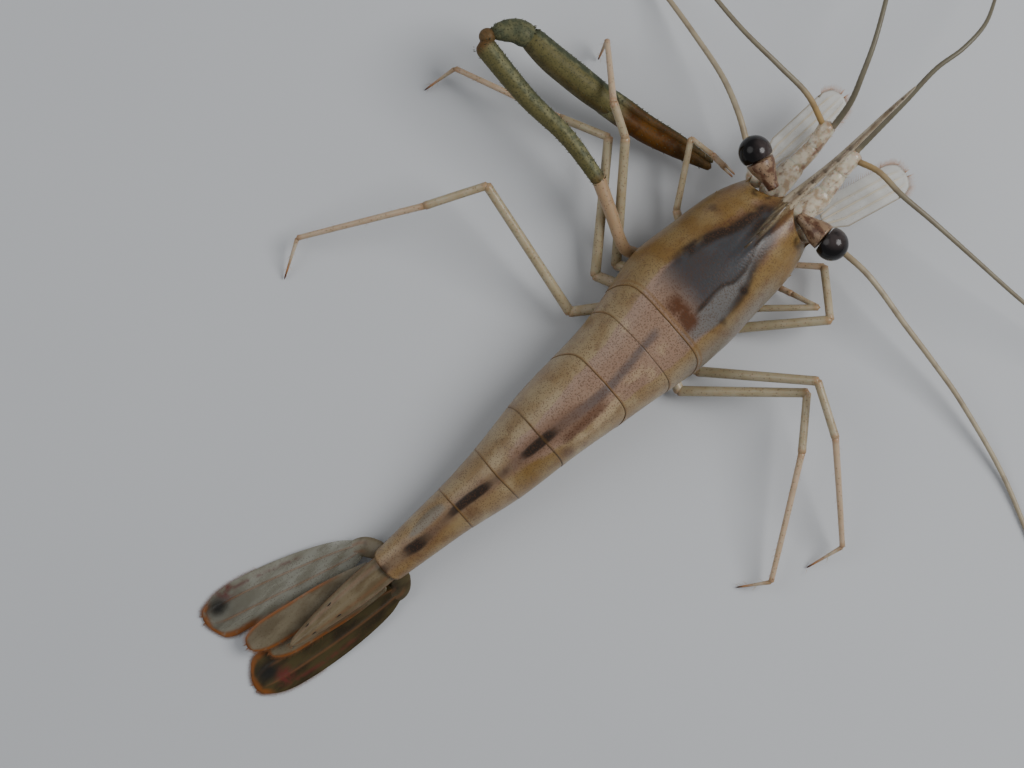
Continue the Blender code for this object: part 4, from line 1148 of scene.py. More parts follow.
def put_segments(bm, points, radii, marks, flat=1.0, bow=0.012, around=16):
    """Adds a row of segments; radii are pairs, and marks gives each segment's own values."""
    for k, (start, end) in enumerate(zip(points, points[1:])):
        first, second = radii[k]
        claw = marks[k].get("claw", 0.0)
        way = (end - start).normalized()
        start = start - way * SOCKET * first
        end = end + way * SOCKET * second * (1 - claw)
        length = (end - start).length
        steps = max(10, round(length / STEP))
        lift = Vector((0, 0, bow * length))
        path = [start.lerp(end, j / steps) + lift * math.sin(math.pi * j / steps) for j in range(steps + 1)]

        def radius(s):
            swell = bell(s * length, COLLAR_REACH) + (1 - claw) * bell((1 - s) * length, COLLAR_REACH)
            return (first + (second - first) * s) * (1 + COLLAR * swell)

        def paint(s, t):
            near = (s if claw else min(s, 1 - s)) * length
            return {**marks[k], "joint": 1 - ease(near, 0.5, 1.3), "claw": claw * ease(s, 0.1, 1.0)}

        put_tube(bm, path, radius, around, flat, paint)


def put_hairs(bm, path, radius, spacing, length, marks, seed):
    """Adds short fine hairs standing out from a path at random angles."""
    draw = random.Random(seed)
    for a, b in zip(path, path[1:]):
        way = (b - a).normalized()
        level, rise = square_to(way)
        for k in range(max(1, round((b - a).length / spacing))):
            turn = draw.uniform(-0.5, math.pi + 0.5)
            out = level * math.cos(turn) + rise * math.sin(turn)
            root = a.lerp(b, draw.random()) + out * radius
            size = length * draw.uniform(0.7, 1.3)
            put_spine(bm, root, out + way, HAIR, size, sunk=0.08, segments=3, marks=marks)


LIMB_BEIGE = (0.42, 0.32, 0.2)
LIMB_PALE = (0.52, 0.43, 0.31)
LIMB_OLIVE = (0.33, 0.28, 0.16)
LIMB_PINK = (0.52, 0.37, 0.24)
LIMB_ORANGE = (0.37, 0.235, 0.125)
JOINT_RUST = (0.33, 0.16, 0.06)
CLAW_BROWN = (0.36, 0.17, 0.06)
CLAW_TIP = (0.07, 0.03, 0.018)
limb, tree, shader = start_material("limb_beige", 0.38, coat=0.2)
colour = lay(
    tree, blend(tree, patches(tree, 1.6), LIMB_BEIGE, LIMB_PALE),
    ("olive", 0.6, LIMB_OLIVE),
    ("pink", 0.7, LIMB_PINK),
    ("orange", 0.8, LIMB_ORANGE),
    ("joint", 0.55, JOINT_RUST),
    (step_up(tree, mark(tree, "claw"), 0.2, 0.9), 1.0, CLAW_BROWN),
    (step_up(tree, mark(tree, "claw"), 0.82, 1.0), 1.0, CLAW_TIP),
    (speckles(tree, 0.45, 0.1), 0.5, SPECK_BROWN),
)
feed(tree, shader.inputs["Base Color"], colour)
let_light_in(shader, 0.15, 0.8)
bump(tree, shader, mottle(tree, 0.3, 2.0), 0.04)
print("limb collar:", COLLAR)

# %% [markdown]
# ## Walking legs
#
# Five pairs of legs carry a prawn. The three hind pairs end in a single claw and the front
# pair in a small pincer. The right leg of the second pair is short here, as one that is
# growing back, and lies under the shell. The joints are bent as they lie in the pose.

# %% Walking legs
LEG_RADII = ((0.85, 0.72), (0.72, 0.64), (0.56, 0.58), (0.48, 0.38), (0.32, 0.1))
LEG_MARKS = ({"olive": 0.5}, {"olive": 1.0}, {"olive": 0.8}, {"pink": 1.0}, {"claw": 1.0})
# Each leg has its root's place along and up, then its joints from the body out to the tip.
LEGS = {
    "leg_3_left": (
        (-0.4, 2.4), (-9.0, -2.4, 0.85), (-20.7, 9.2, 9.6), (-25.2, 11.0, 11.4), (-32.6, 16.9, 3.9),
        (-31.7, 14.6, 0.2),
    ),
    "leg_4_left": (
        (-3.4, 2.4), (-9.8, -5.6, 2.4), (-22.4, 7.8, 7.5), (-28.8, 4.9, 5.8), (-43.7, -1.0, 2.6),
        (-44.6, -6.1, 0.2),
    ),
    "leg_5_left": (
        (-5.6, 3.0), (-8.4, -11.6, 3.4), (-28.2, -8.9, 11.0), (-31.9, -16.8, 9.0), (-40.8, -32.6, 2.8),
        (-38.0, -37.9, 0.2),
    ),
    "leg_3_right": (
        (-0.4, 2.4), (8.2, 3.6, 1.4), (16.0, 13.9, 5.6), (10.2, 18.4, 3.4), (4.9, 13.4, 1.0),
        (4.4, 10.8, 0.2),
    ),
    "leg_4_right": (
        (-3.4, 2.4), (9.4, -3.9, 1.8), (20.6, 6.6, 10.4), (27.9, 3.4, 9.6), (40.5, -5.2, 2.6),
        (39.7, -10.8, 0.2),
    ),
    "leg_5_right": (
        (-5.6, 3.0), (9.7, -7.6, 1.9), (21.1, 4.8, 7.4), (26.7, -1.1, 7.0), (37.6, -15.7, 2.4),
        (35.2, -19.8, 0.2),
    ),
}
PINCER_LENGTH = 1.9
PINCER_SUNK = 0.35
PINCER_SPREAD = 0.24
PINCER_RADII = ((0.68, 0.55), (0.48, 0.42), (0.36, 0.38), (0.44, 0.42))
PINCER_MARKS = ({"olive": 0.5}, {"olive": 0.8}, {"olive": 0.5}, {"pink": 0.6})
PINCER_LEGS = {
    "leg_1_left": ((6.4, 2.6), (-9.0, 8.5, 3.6), (-14.9, 16.1, 7.0), (-11.3, 16.7, 7.4), (-9.1, 16.9, 6.9)),
    "leg_1_right": ((6.4, 2.6), (8.3, 7.8, 2.3), (13.7, 13.9, 5.2), (10.0, 12.7, 3.0), (8.5, 12.2, 1.9)),
    "leg_2_right": ((3.0, 2.4), (6.3, 4.4, 0.95), (6.9, 7.2, 0.8), (6.9, 8.5, 0.8), (6.6, 9.6, 0.8)),
}
ROOT_GAP = 0.3
STERNUM_HALF = ((-6.4, 3.9), (-3.6, 4.6), (-1.6, 4.7), (1.6, 4.7), (4.0, 4.6), (9.0, 4.0), (13.0, 3.2))
LOWEST = 0.08


def leg_root(y, level, side):
    """Where a leg starts, a little outside the narrow chest."""
    return body_point(y, outer_sign(side) * (along(STERNUM_HALF, y) + ROOT_GAP), level)


def leg_points(name, root, *joints):
    return [leg_root(*root, name.split("_")[-1]), *map(Vector, joints)]


def keep_above_floor(bm):
    """Flattens what would sink into the floor."""
    for vertex in bm.verts:
        vertex.co.z = max(vertex.co.z, LOWEST)


for name, places in LEGS.items():
    points = leg_points(name, *places)
    bm = bmesh.new()
    put_segments(bm, points, LEG_RADII, LEG_MARKS)
    put_hairs(bm, points[3:], radius=0.34, spacing=0.9, length=0.7, marks={"claw": 0.3}, seed=name)
    keep_above_floor(bm)
    finish(name, bm, limb, [name])

for name, places in PINCER_LEGS.items():
    points = leg_points(name, *places)
    bm = bmesh.new()
    put_segments(bm, points, PINCER_RADII, PINCER_MARKS)
    way = (points[-1] - points[-2]).normalized()
    across = square_to(way)[0]
    for turn in (-1, 1):
        start = points[-1] - way * PINCER_SUNK + across * turn * PINCER_SPREAD
        tip = points[-1] + way * PINCER_LENGTH + across * turn * 0.22
        put_segments(bm, [start, tip], [(0.24, 0.12)], [{"claw": 0.7}], bow=0.0)
    put_hairs(bm, points[2:], radius=0.4, spacing=0.7, length=0.6, marks={"claw": 0.2}, seed=name)
    keep_above_floor(bm)
    finish(name, bm, limb, [name])

# %% [markdown]
# ## Mouth legs
#
# A pair of short furry legs, the maxillipeds, folds forwards under the head and covers the
# mouth. They are small segments with a dense row of bristles.

# %% Mouth legs
MAXILLIPED = ((2.1, 13.4, 1.5), (2.5, 17.6, 1.9), (2.4, 20.6, 3.0), (2.0, 23.2, 4.6))
MAXILLIPED_RADII = ((0.62, 0.56), (0.54, 0.46), (0.46, 0.3))

for side in ("left", "right"):
    points = [mirrored(point, side) for point in MAXILLIPED]
    bm = bmesh.new()
    put_segments(bm, points, MAXILLIPED_RADII, ({"olive": 0.4}, {"pink": 0.5}, {"pink": 0.8}))
    put_hairs(bm, points[1:], radius=0.42, spacing=0.12, length=1.0, marks={"joint": 0.6}, seed=side)
    finish("maxilliped_" + side, bm, limb, ["maxilliped_" + side])

# %% [markdown]
# ## Finish of the large claw
#
# The left leg of the second pair is the long one with a strong pincer. From the wrist on it
# is dark green and rough with rows of small spines. A band along it is more yellow, its edge
# and its joints are darker and its fingers are brown. The palm's side turned away from the
# light is browner with painted shade.

# %% Finish of the large claw
SPINULE_RADIUS = 0.1
SPINULE_LENGTH = 0.36
THICK_LIMB_STEPS = 70
GREEN_DARK = (0.108, 0.115, 0.064)
GREEN_OLIVE = (0.2, 0.188, 0.095)
GREEN_YELLOW = (0.115, 0.095, 0.03)
# Painted shade on the palm's side turned away from the light.
GREEN_SHADE_BROWN = (0.08, 0.045, 0.012)
GREEN_EDGE = (0.04, 0.05, 0.028)
GREEN_SPECK = (0.04, 0.04, 0.022)
GREEN_SPINE = (0.07, 0.07, 0.04)
FINGER_DARK = (0.055, 0.018, 0.002)
FINGER_WARM = (0.105, 0.042, 0.006)
RING_BROWN = (0.13, 0.06, 0.02)


def put_spinules(bm, path, radii, rows, pitch, seed):
    """Adds rows of small forward-leaning spines, uneven in size as real ones are."""
    draw = random.Random(seed)
    last = len(path) - 1
    length = path_length(path)
    for k in range(1, round(length / pitch)):
        share = k * pitch / length
        j = min(last - 1, int(share * last))
        way = (path[j + 1] - path[j]).normalized()
        level, rise = square_to(way)
        middle = path[j].lerp(path[j + 1], share * last - j)
        for row in rows:
            angle = math.radians(row + draw.uniform(-7, 7))
            out = level * math.cos(angle) + rise * math.sin(angle)
            size = draw.uniform(0.5, 1.1)
            root = middle + out * evenly(radii, share) * 0.97 + way * draw.uniform(-0.25, 0.25)
            put_spine(
                bm, root, out + way * 0.8, SPINULE_RADIUS * size, SPINULE_LENGTH * size,
                sunk=0.08, marks={"spine": 1.0},
            )


def put_thick_limb(bm, points, radii, paint, around=36):
    """Adds a thick tube on a smooth curve and returns its path."""
    path = smooth_path(points, THICK_LIMB_STEPS)
    put_tube(bm, path, lambda s: evenly(radii, s), around, marks=paint)
    return path


green, tree, shader = start_material("rough_green", 0.5, coat=0.02, gloss=0.13)
finger_brown = blend(tree, patches(tree, 2.0), FINGER_DARK, FINGER_WARM)
colour = lay(
    tree, blend(tree, patches(tree, 0.9, 5.0, 0.38, 0.62), GREEN_DARK, GREEN_OLIVE),
    ("band", 0.75, GREEN_YELLOW),
    # painted shade on the palm's side away from the light
    ("low", 0.5, GREEN_SHADE_BROWN),
    ("finger", 1.0, finger_brown),
    (broken(tree, "edge", 1.2, 0.15, 0.5, 4.0), 0.85, GREEN_EDGE),
    ("ring", 0.85, RING_BROWN),
    (speckles(tree, 0.3, 0.09), 0.6, GREEN_SPECK),
    ("spine", 0.7, GREEN_SPINE),
)
feed(tree, shader.inputs["Base Color"], colour)
bump(tree, shader, mottle(tree, 0.3, 4.0), 0.14)
print("claw material nodes:", len(tree.nodes))

# %% [markdown]
# ## Arm and wrist of the large claw
#
# The arm is smooth and pale orange, with a slight swelling at its far end. The wrist after
# it grows wider to a round joint at the knuckle. Rows of spines run down the wrist.

# %% Arm and wrist of the large claw
CLAW_ROOT = (3.0, 2.4)
ARM = ((-8.2, 0.6, 2.6), (-9.9, -0.3, 4.5), (-14.5, 1.3, 6.7), (-19.7, 3.25, 8.6))
ARM_RADII = (0.85, 0.85, 0.92, 1.0)
ARM_SWELL = 0.12
CARPUS = ((-18.3, 2.85, 8.45), (-26.0, 3.5, 9.5), (-33.2, 2.95, 10.2), (-43.2, 3.3, 10.9))
CARPUS_RADII = (0.98, 1.18, 1.35, 1.5)
CARPUS_JOINT = (-43.0, 4.4, 10.75)
CARPUS_JOINT_RADIUS = 1.15
# The rows of spines stand at these angles round the limb.
CARPUS_ROWS = (-22, 0, 20, 42, 66, 92, 120, 150, 178)


def carpus_marks(s, t):
    upper = across_tube(t)
    return {
        "band": 0.9 * (1 - ease(upper, -0.2, 0.3)),
        "edge": 0.7 * ease(upper, 0.5, 0.9) * ease(s, 0.2, 0.6),
        "ring": max(ease(s, 0.93, 0.97), 0.55 * (1 - ease(s, 0.03, 0.07))),
    }


bm = bmesh.new()
put_segments(bm, [leg_root(*CLAW_ROOT, "left"), Vector(ARM[0])], [(0.95, 0.88)], [{"orange": 0.5}])
path = smooth_path(ARM, count=50)
put_tube(
    bm, path, lambda s: evenly(ARM_RADII, s) * (1 + ARM_SWELL * bell(1 - s, 0.06)), around=28,
    marks=lambda s, t: {"orange": 1.0, "pink": 0.3, "joint": 0.7 * ease(s, 0.9, 1.0)},
)
put_hairs(bm, [path[20], path[-1]], radius=0.85, spacing=0.5, length=0.5, marks={"orange": 1.0}, seed="arm")
finish("cheliped_left_arm", bm, limb, ["cheliped_left_arm"])

bm = bmesh.new()
path = put_thick_limb(bm, CARPUS, CARPUS_RADII, carpus_marks)
put_spinules(bm, path, CARPUS_RADII, CARPUS_ROWS, pitch=0.55, seed="carpus")
put_ball(bm, CARPUS_JOINT, CARPUS_JOINT_RADIUS, {"ring": 0.9})
finish("cheliped_left_carpus", bm, green, ["cheliped_left_carpus"])

# %% [markdown]
# ## Palm and fingers of the large claw
#
# The palm starts at the knuckle, turns back beside the wrist and carries two long fingers
# that touch at their tips. One finger is part of the palm, and the other one, which opens
# on the living animal, is a piece of its own. Both turn brown soon after the palm.

# %% Palm and fingers of the large claw
KNUCKLE = ((-42.6, 4.9, 10.75), (-42.2, 6.3, 10.6), (-40.9, 7.9, 10.2), (-38.4, 8.8, 9.6))
KNUCKLE_RADII = (1.0, 1.5, 1.72, 1.65)
PALM = ((-40.2, 8.6, 9.9), (-35.5, 9.1, 8.6), (-32.1, 9.75, 7.6), (-28.8, 10.45, 6.5), (-24.6, 11.4, 5.1))
PALM_RADII = (1.55, 1.95, 2.05, 2.0, 1.7)
FIXED_FINGER = ((-27.6, 10.3, 5.6), (-20.4, 12.05, 4.3), (-15.9, 13.75, 3.8), (-10.1, 15.9, 3.6))
FIXED_RADII = (1.5, 1.42, 1.22, 0.5)
MOVING_FINGER = (
    (-28.2, 11.6, 6.1), (-24.6, 12.75, 5.0), (-20.75, 13.75, 4.3), (-16.2, 15.2, 3.8), (-10.5, 16.6, 3.6),
)
MOVING_RADII = (0.9, 0.86, 0.74, 0.62, 0.34)
PALM_ROWS = (200, 182, 166, 150, 134, 112, 86, 56, 20)
FIXED_ROWS = (-10, 60, 120)
MOVING_ROWS = (200, 170, 140, 90)


def palm_marks(s, t):
    lower = across_tube(t)
    return {
        # low is painted shade on the side turned away from the light.
        "low": ease(lower, 0.35, 0.8),
        "edge": ease(-lower, 0.45, 0.7),
        "band": 1 - ease(abs(lower - 0.1), 0.35 + 0.4 * s, 0.6 + 0.4 * s),
        "finger": 0.9 * ease(s - 0.08 * lower, 0.88, 1.04),
    }


def finger_value(s, low, high):
    """How brown a finger is along its length."""
    return ease(s, low, high) * (1 - 0.2 * ease(s, 0.6, 0.95))


def fixed_marks(s, t):
    return {"finger": finger_value(s, 0.1, 0.3)}


def moving_marks(s, t):
    edge = max(ease(-across_tube(t), 0.5, 0.95), 0.6 * ease(s, 0.93, 1.0))
    return {"finger": 0.9 * finger_value(s, 0.12, 0.32), "edge": edge}


bm = bmesh.new()
path = put_thick_limb(bm, KNUCKLE, KNUCKLE_RADII, lambda s, t: {"edge": 0.5})
put_spinules(bm, path, KNUCKLE_RADII, PALM_ROWS, pitch=0.5, seed="knuckle")
path = put_thick_limb(bm, PALM, PALM_RADII, palm_marks)
put_spinules(bm, path, PALM_RADII, PALM_ROWS, pitch=0.6, seed="palm")
path = put_thick_limb(bm, FIXED_FINGER, FIXED_RADII, fixed_marks, around=24)
put_spinules(bm, path, FIXED_RADII, FIXED_ROWS, pitch=1.3, seed="fixed finger")
finish("cheliped_left_palm", bm, green, ["cheliped_left_palm"])

bm = bmesh.new()
path = put_thick_limb(bm, MOVING_FINGER, MOVING_RADII, moving_marks, around=24)
put_spinules(bm, path, MOVING_RADII, MOVING_ROWS, pitch=0.9, seed="moving finger")
finish("cheliped_left_finger", bm, green, ["cheliped_left_finger"])

# %% [markdown]
# ## Feeler stems
#
# The first feelers stand on stems of three segments between the eyes. The second ones grow
# from round knobs beside the mouth. Both are pale and nearly clear, with brown flecks and
# dark rings at the joints.

# %% Feeler stems
STEM_BASE = (2.3, 18.7, 9.3)
STEMS = {
    "left": ((-2.8, 23.6, 9.6), (-3.0, 26.9, 9.9), (-3.8, 30.2, 10.4)),
    "right": ((2.6, 24.0, 9.6), (1.9, 27.2, 9.9), (1.5, 30.3, 10.4)),
}
FEELER_ROOTS = {
    "antennule_outer_left": (-4.25, 29.9, 10.45), "antennule_inner_left": (-3.2, 30.35, 10.5),
    "antennule_outer_right": (2.25, 30.1, 10.45), "antennule_inner_right": (1.2, 30.6, 10.5),
    "antenna_left": (-7.9, 20.5, 6.8), "antenna_right": (7.8, 20.6, 6.8),
}
STEM_RADII = ((1.85, 1.4), (1.3, 1.12), (1.05, 1.2))
KNOB = (5.1, 19.2, 6.9)
KNOB_END = (8.3, 20.8, 6.8)
KNOB_RADIUS = 1.5
CUP_RADIUS = 0.52
STEM_DARK = (0.42, 0.31, 0.2)
STEM_PALE = (0.62, 0.55, 0.43)
STEM_FLECK = (0.19, 0.1, 0.06)
STEM_RING = (0.26, 0.14, 0.07)
CUP_RUST = (0.24, 0.09, 0.03)

stem, tree, shader = start_material("clear_stem", 0.3, coat=0.3)
colour = lay(
    tree, blend(tree, patches(tree, 1.1, high=0.6), STEM_DARK, STEM_PALE),
    (patches(tree, 1.3, 4.0, 0.56, 0.68, stretch=(1.0, 0.6, 1.0)), 0.8, STEM_FLECK),
    ("joint", 0.45, STEM_RING),
    ("cup", 0.6, CUP_RUST),
    (speckles(tree, 0.6, 0.1), 0.35, BLACK_BROWN),
)
feed(tree, shader.inputs["Base Color"], colour)
let_light_in(shader, 0.2, 1.0)
bump(tree, shader, mottle(tree, 0.4, 2.0), 0.05)

for side, joints in STEMS.items():
    points = [mirrored(STEM_BASE, side), *map(Vector, joints)]
    outer = outer_sign(side)
    bm = bmesh.new()
    put_segments(bm, points, STEM_RADII, ({}, {}, {}), flat=0.85, bow=0.0, around=28)
    for branch in ("outer", "inner"):
        put_ball(bm, FEELER_ROOTS[f"antennule_{branch}_{side}"], CUP_RADIUS, {"cup": 1.0})
    root = points[0] + Vector((outer * 1.4, 2.0, 0))
    put_spine(bm, root, (outer * 0.3, 1, 0), radius=0.45, length=2.6, sunk=0.6, segments=10)
    put_hairs(bm, points[1:], radius=1.1, spacing=0.3, length=0.6, marks={"joint": 0.5}, seed=side)
    finish("antennule_peduncle_" + side, bm, stem, ["antennule_peduncle_" + side])
    bm = bmesh.new()
    centre = mirrored(KNOB, side)
    put_ball(bm, centre, KNOB_RADIUS, {}, segments=32)
    put_segments(bm, [centre, mirrored(KNOB_END, side)], [(1.05, 0.85)], ({},), bow=0.0, around=24)
    root = centre + Vector((outer * 0.9, 0.9, 0.6))
    put_spine(bm, root, (outer * 0.5, 1, 0.2), radius=0.35, length=1.3, sunk=0.4, segments=10)
    finish("antenna_base_" + side, bm, stem, ["antenna_base_" + side])

# %% [markdown]
# ## Feelers
#
# Six long whips feel the way: two on each first feeler and one on each second. They are
# made of hundreds of short rings, so the tube swells and narrows a little all along. Every
# few rings a darker one gives the fine banding.

# %% Feelers
FEELERS = {
    "antennule_outer_left": (
        (-8.7, 30.6, 12.9), (-13.9, 30.0, 14.9), (-21.0, 29.4, 15.8),
        (-30.0, 30.0, 14.2), (-40.0, 31.5, 9.6), (-50.0, 34.0, 3.2),
    ),
    "antennule_inner_left": (
        (-4.2, 34.2, 12.9), (-5.9, 37.4, 14.9), (-8.0, 41.2, 15.7),
        (-11.2, 46.3, 15.0), (-16.0, 54.0, 11.4), (-22.0, 62.5, 5.0),
    ),
    "antennule_outer_right": (
        (5.2, 31.0, 12.0), (9.3, 31.0, 13.0), (14.5, 31.8, 12.5),
        (22.0, 33.0, 10.6), (31.5, 34.6, 7.8), (42.0, 37.0, 4.6), (50.0, 40.0, 1.4),
    ),
    "antennule_inner_right": (
        (0.9, 34.4, 12.2), (0.5, 39.6, 14.0), (0.0, 45.1, 15.0),
        (0.4, 49.5, 14.8), (0.0, 54.0, 13.6), (-1.6, 58.0, 11.2), (-5.0, 65.0, 5.5),
    ),
    "antenna_left": (
        (-8.9, 21.0, 6.9), (-12.8, 22.9, 7.5), (-18.0, 24.8, 6.6), (-24.0, 26.0, 4.9),
        (-32.0, 27.2, 2.6), (-42.0, 28.2, 0.9), (-52.0, 27.0, 0.28), (-61.0, 22.0, 0.26),
        (-68.0, 13.0, 0.26), (-72.0, 1.0, 0.26), (-74.3, -9.0, 0.26), (-75.5, -16.0, 0.26),
    ),
    "antenna_right": (
        (8.8, 20.9, 6.9), (14.8, 21.5, 7.5), (23.3, 21.0, 5.8), (30.0, 20.7, 4.1),
        (36.2, 20.2, 2.7), (47.3, 18.2, 0.9), (56.0, 15.4, 0.28), (66.0, 11.5, 0.26),
        (74.5, 4.5, 0.26), (80.5, -5.0, 0.26), (83.0, -16.0, 0.26), (82.0, -28.0, 0.26),
        (78.5, -39.0, 0.26), (73.0, -49.0, 0.26),
    ),
}
FEELER_RADII = (0.44, 0.34, 0.27, 0.13)
# How dark each feeler is, and how orange its first stretch.
FEELER_SHADES = {
    "antennule_outer_left": (0.65, 0.85), "antennule_inner_left": (0.85, 0.0),
    "antennule_outer_right": (0.65, 0.75), "antennule_inner_right": (0.9, 0.0),
    "antenna_left": (0.0, 0.1), "antenna_right": (0.0, 0.25),
}
RING_STEP = 0.4
RING_SWELL = 0.06
RINGS_IN_BAND = 8
DARK_RINGS = 3
FEELER_OLIVE = (0.34, 0.275, 0.18)
FEELER_PALE = (0.41, 0.345, 0.235)
FEELER_DARK = (0.12, 0.108, 0.07)
FEELER_ORANGE = (0.4, 0.25, 0.085)
FEELER_RING = (0.1, 0.06, 0.045)

feeler, tree, shader = start_material("feeler_rings", 0.42, coat=0.1)
colour = lay(
    tree, blend(tree, patches(tree, 5.0, 2.0, 0.3, 0.7), FEELER_OLIVE, FEELER_PALE),
    ("dark", 1.0, FEELER_DARK),
    ("base", 1.0, FEELER_ORANGE),
    (broken(tree, "ring", 1.5, 0.35, 0.6, 2.0), 0.22, FEELER_RING),
)
feed(tree, shader.inputs["Base Color"], colour)
bump(tree, shader, mottle(tree, 0.25, 2.0), 0.03)

for name, waypoints in FEELERS.items():
    waypoints = (FEELER_ROOTS[name], *waypoints)
    steps = 2 * round(path_length(smooth_path(waypoints, 60)) / RING_STEP / 2)
    dark, base = FEELER_SHADES[name]

    def feeler_radius(s):
        return evenly(FEELER_RADII, s) * (1 + RING_SWELL * (round(s * steps) % 2))

    def feeler_marks(s, t):
        out = s * steps * RING_STEP
        return {
            "ring": 1.0 if round(s * steps) % RINGS_IN_BAND < DARK_RINGS else 0.0,
            "dark": dark * ease(out, 0.0, 1.5 if dark > 0.8 else 10.0),
            "base": base * (1 - ease(out, 1.5, 8.0)),
        }

    bm = bmesh.new()
    put_tube(bm, smooth_path(waypoints, steps + 1), feeler_radius, around=8, marks=feeler_marks)
    keep_above_floor(bm)
    finish(name + "_flagellum", bm, feeler, [name + "_flagellum"])

# %% [markdown]
# ## Blades
#
# Antennal scales, tail fan and swimmerets are thin blades. A blade is a tube pressed flat:
# its section is a thin lens, its width follows a curve from root to tip, and ribs stand up
# on its top. A fringe of fine bristles stands along the rounded edge.

# %% Blades
BLADE_END = 0.5
RIB_HEIGHT = 0.09
BRISTLE = 0.045
# Each blade has a start, a heading, a length, and functions of s and u for its half width and its
# height. s runs from its root to its tip, and u from -1, the left edge, to 1, the right one.
Blade = namedtuple("Blade", "start heading length half level")


def heading_vectors(heading):
    """Forward and rightward directions for a heading: 0 ahead, 90 to the prawn's right."""
    angle = math.radians(heading)
    return Vector((math.sin(angle), math.cos(angle), 0)), Vector((math.cos(angle), -math.sin(angle), 0))


def put_blade(bm, blade, thick, ribs, paint, steps=90, around=72):
    """Adds a flat closed blade; ribs gives the u of each rib, and paint(s, u) its points' values."""
    forward, right = heading_vectors(blade.heading)

    def place(s, t):
        u = across_tube(t)
        v = math.sin(2 * math.pi * t)
        closing = round_off(s, blade.length, BLADE_END)
        wide = blade.half(s, u)
        rib = sum(RIB_HEIGHT * bell((u - r) * wide, 0.16) for r in ribs) if v > 0 else 0.0
        point = blade.start + forward * blade.length * s + right * u * wide * closing
        body = thick * (0.35 + 0.65 * abs(v)) * math.copysign(1.0, v) / 2 if abs(v) > 1e-6 else 0.0
        point.z = blade.level(s, u) + closing * (body * abs(v) ** 0.3 + rib * (1 - ease(s, 0.85, 1.0)))
        return point

    put_grid(bm, place, steps, around, lambda s, t: paint(s, across_tube(t)), weld=True)


def put_fringe(bm, blade, spans, reach, spacing, marks, seed):
    """Adds bristles along a blade's edges; spans gives each side's first and last share."""
    forward, right = heading_vectors(blade.heading)
    draw = random.Random(seed)
    step = 0.004
    for side, (first, last) in spans.items():
        count = round((last - first) * blade.length / spacing)
        for k in range(count + 1):
            s = first + (last - first) * math.sin(math.pi / 2 * k / count)
            widening = blade.half(min(s + step, 1.0), side) - blade.half(s - step, side)
            slope = widening / (2 * step * blade.length)
            edge = right * side * blade.half(s, side) * round_off(s, blade.length, BLADE_END)
            root = blade.start + forward * blade.length * s + edge
            root.z = blade.level(s, side)
            out = (right * side - forward * slope).normalized() + forward * 0.7
            out.z = draw.uniform(-0.06, 0.06)
            length = reach * draw.uniform(0.75, 1.15)
            put_spine(bm, root, out, BRISTLE, length, sunk=0.15, segments=3, marks=marks)


def edge_value(blade, s, u, wide, soft):
    """1 along a blade's edge and its end, 0 inside."""
    off = min((1 - abs(u)) * blade.half(s, u), (1 - s) * blade.length * 0.9)
    return 1 - ease(off, wide - soft, wide + soft)


def rib_value(blade, s, u, ribs):
    """1 on a blade's ribs, fading to both sides and towards the tip."""
    return max((bell((u - r) * blade.half(s, u), 0.14) for r in ribs), default=0.0) * (1 - ease(s, 0.85, 1.0))


print("blade helpers are ready")

# %% [markdown]
# ## Antennal scales
#
# A clear scale lies beside each second feeler and shields it. It has a stiff dark outer
# edge that ends in a small tooth, faint yellow ribs and a pink fringe round its inner end.

# %% Antennal scales
# Each scale has its root, its heading, its length and its half width.
SCALES = {
    "left": ((-5.3, 21.2, 7.3), -1.0, 14.0, 2.25),
    "right": ((5.1, 21.7, 7.3), 13.3, 13.2, 2.45),
}
SCALE_THICKNESS = 0.34
TOOTH_SHARE = 0.84
CLEAR_GREY = (0.6, 0.58, 0.52)
CLEAR_PALE = (0.72, 0.71, 0.66)
CLEAR_RIB = (0.62, 0.48, 0.26)
CLEAR_EDGE = (0.33, 0.26, 0.16)
CLEAR_FRINGE = (0.7, 0.42, 0.25)
LEAST_COVER = 0.45


def scale_shape(widest):
    """The half width of an antennal scale from its root to its rounded end, as a function."""
    def half(s, u):
        root = 0.5 + 0.5 * min(1.0, s / 0.22)
        tip = math.sqrt(max(0.0, 1 - max(0.0, (s - 0.8) / 0.2) ** 2))
        return widest * min(root, 0.25 + 0.75 * tip)
    return half


clear, tree, shader = start_material("clear_blade", 0.3, coat=0.1)
colour = lay(
    tree, blend(tree, patches(tree, 2.2), CLEAR_GREY, CLEAR_PALE),
    ("rib", 0.7, CLEAR_RIB),
    (speckles(tree, 0.7, 0.08), 0.3, SPECK_BROWN),
    ("edge", 0.8, CLEAR_EDGE),
    ("fringe", 1.0, CLEAR_FRINGE),
)
feed(tree, shader.inputs["Base Color"], colour)
solid = calc(tree, "MULTIPLY", strongest(tree, "rib", "edge", "fringe"), 0.8)
feed(tree, shader.inputs["Alpha"], calc(tree, "MAXIMUM", LEAST_COVER, solid))
bump(tree, shader, mottle(tree, 0.5, 2.0, stretch=(1.0, 0.3, 1.0)), 0.04)

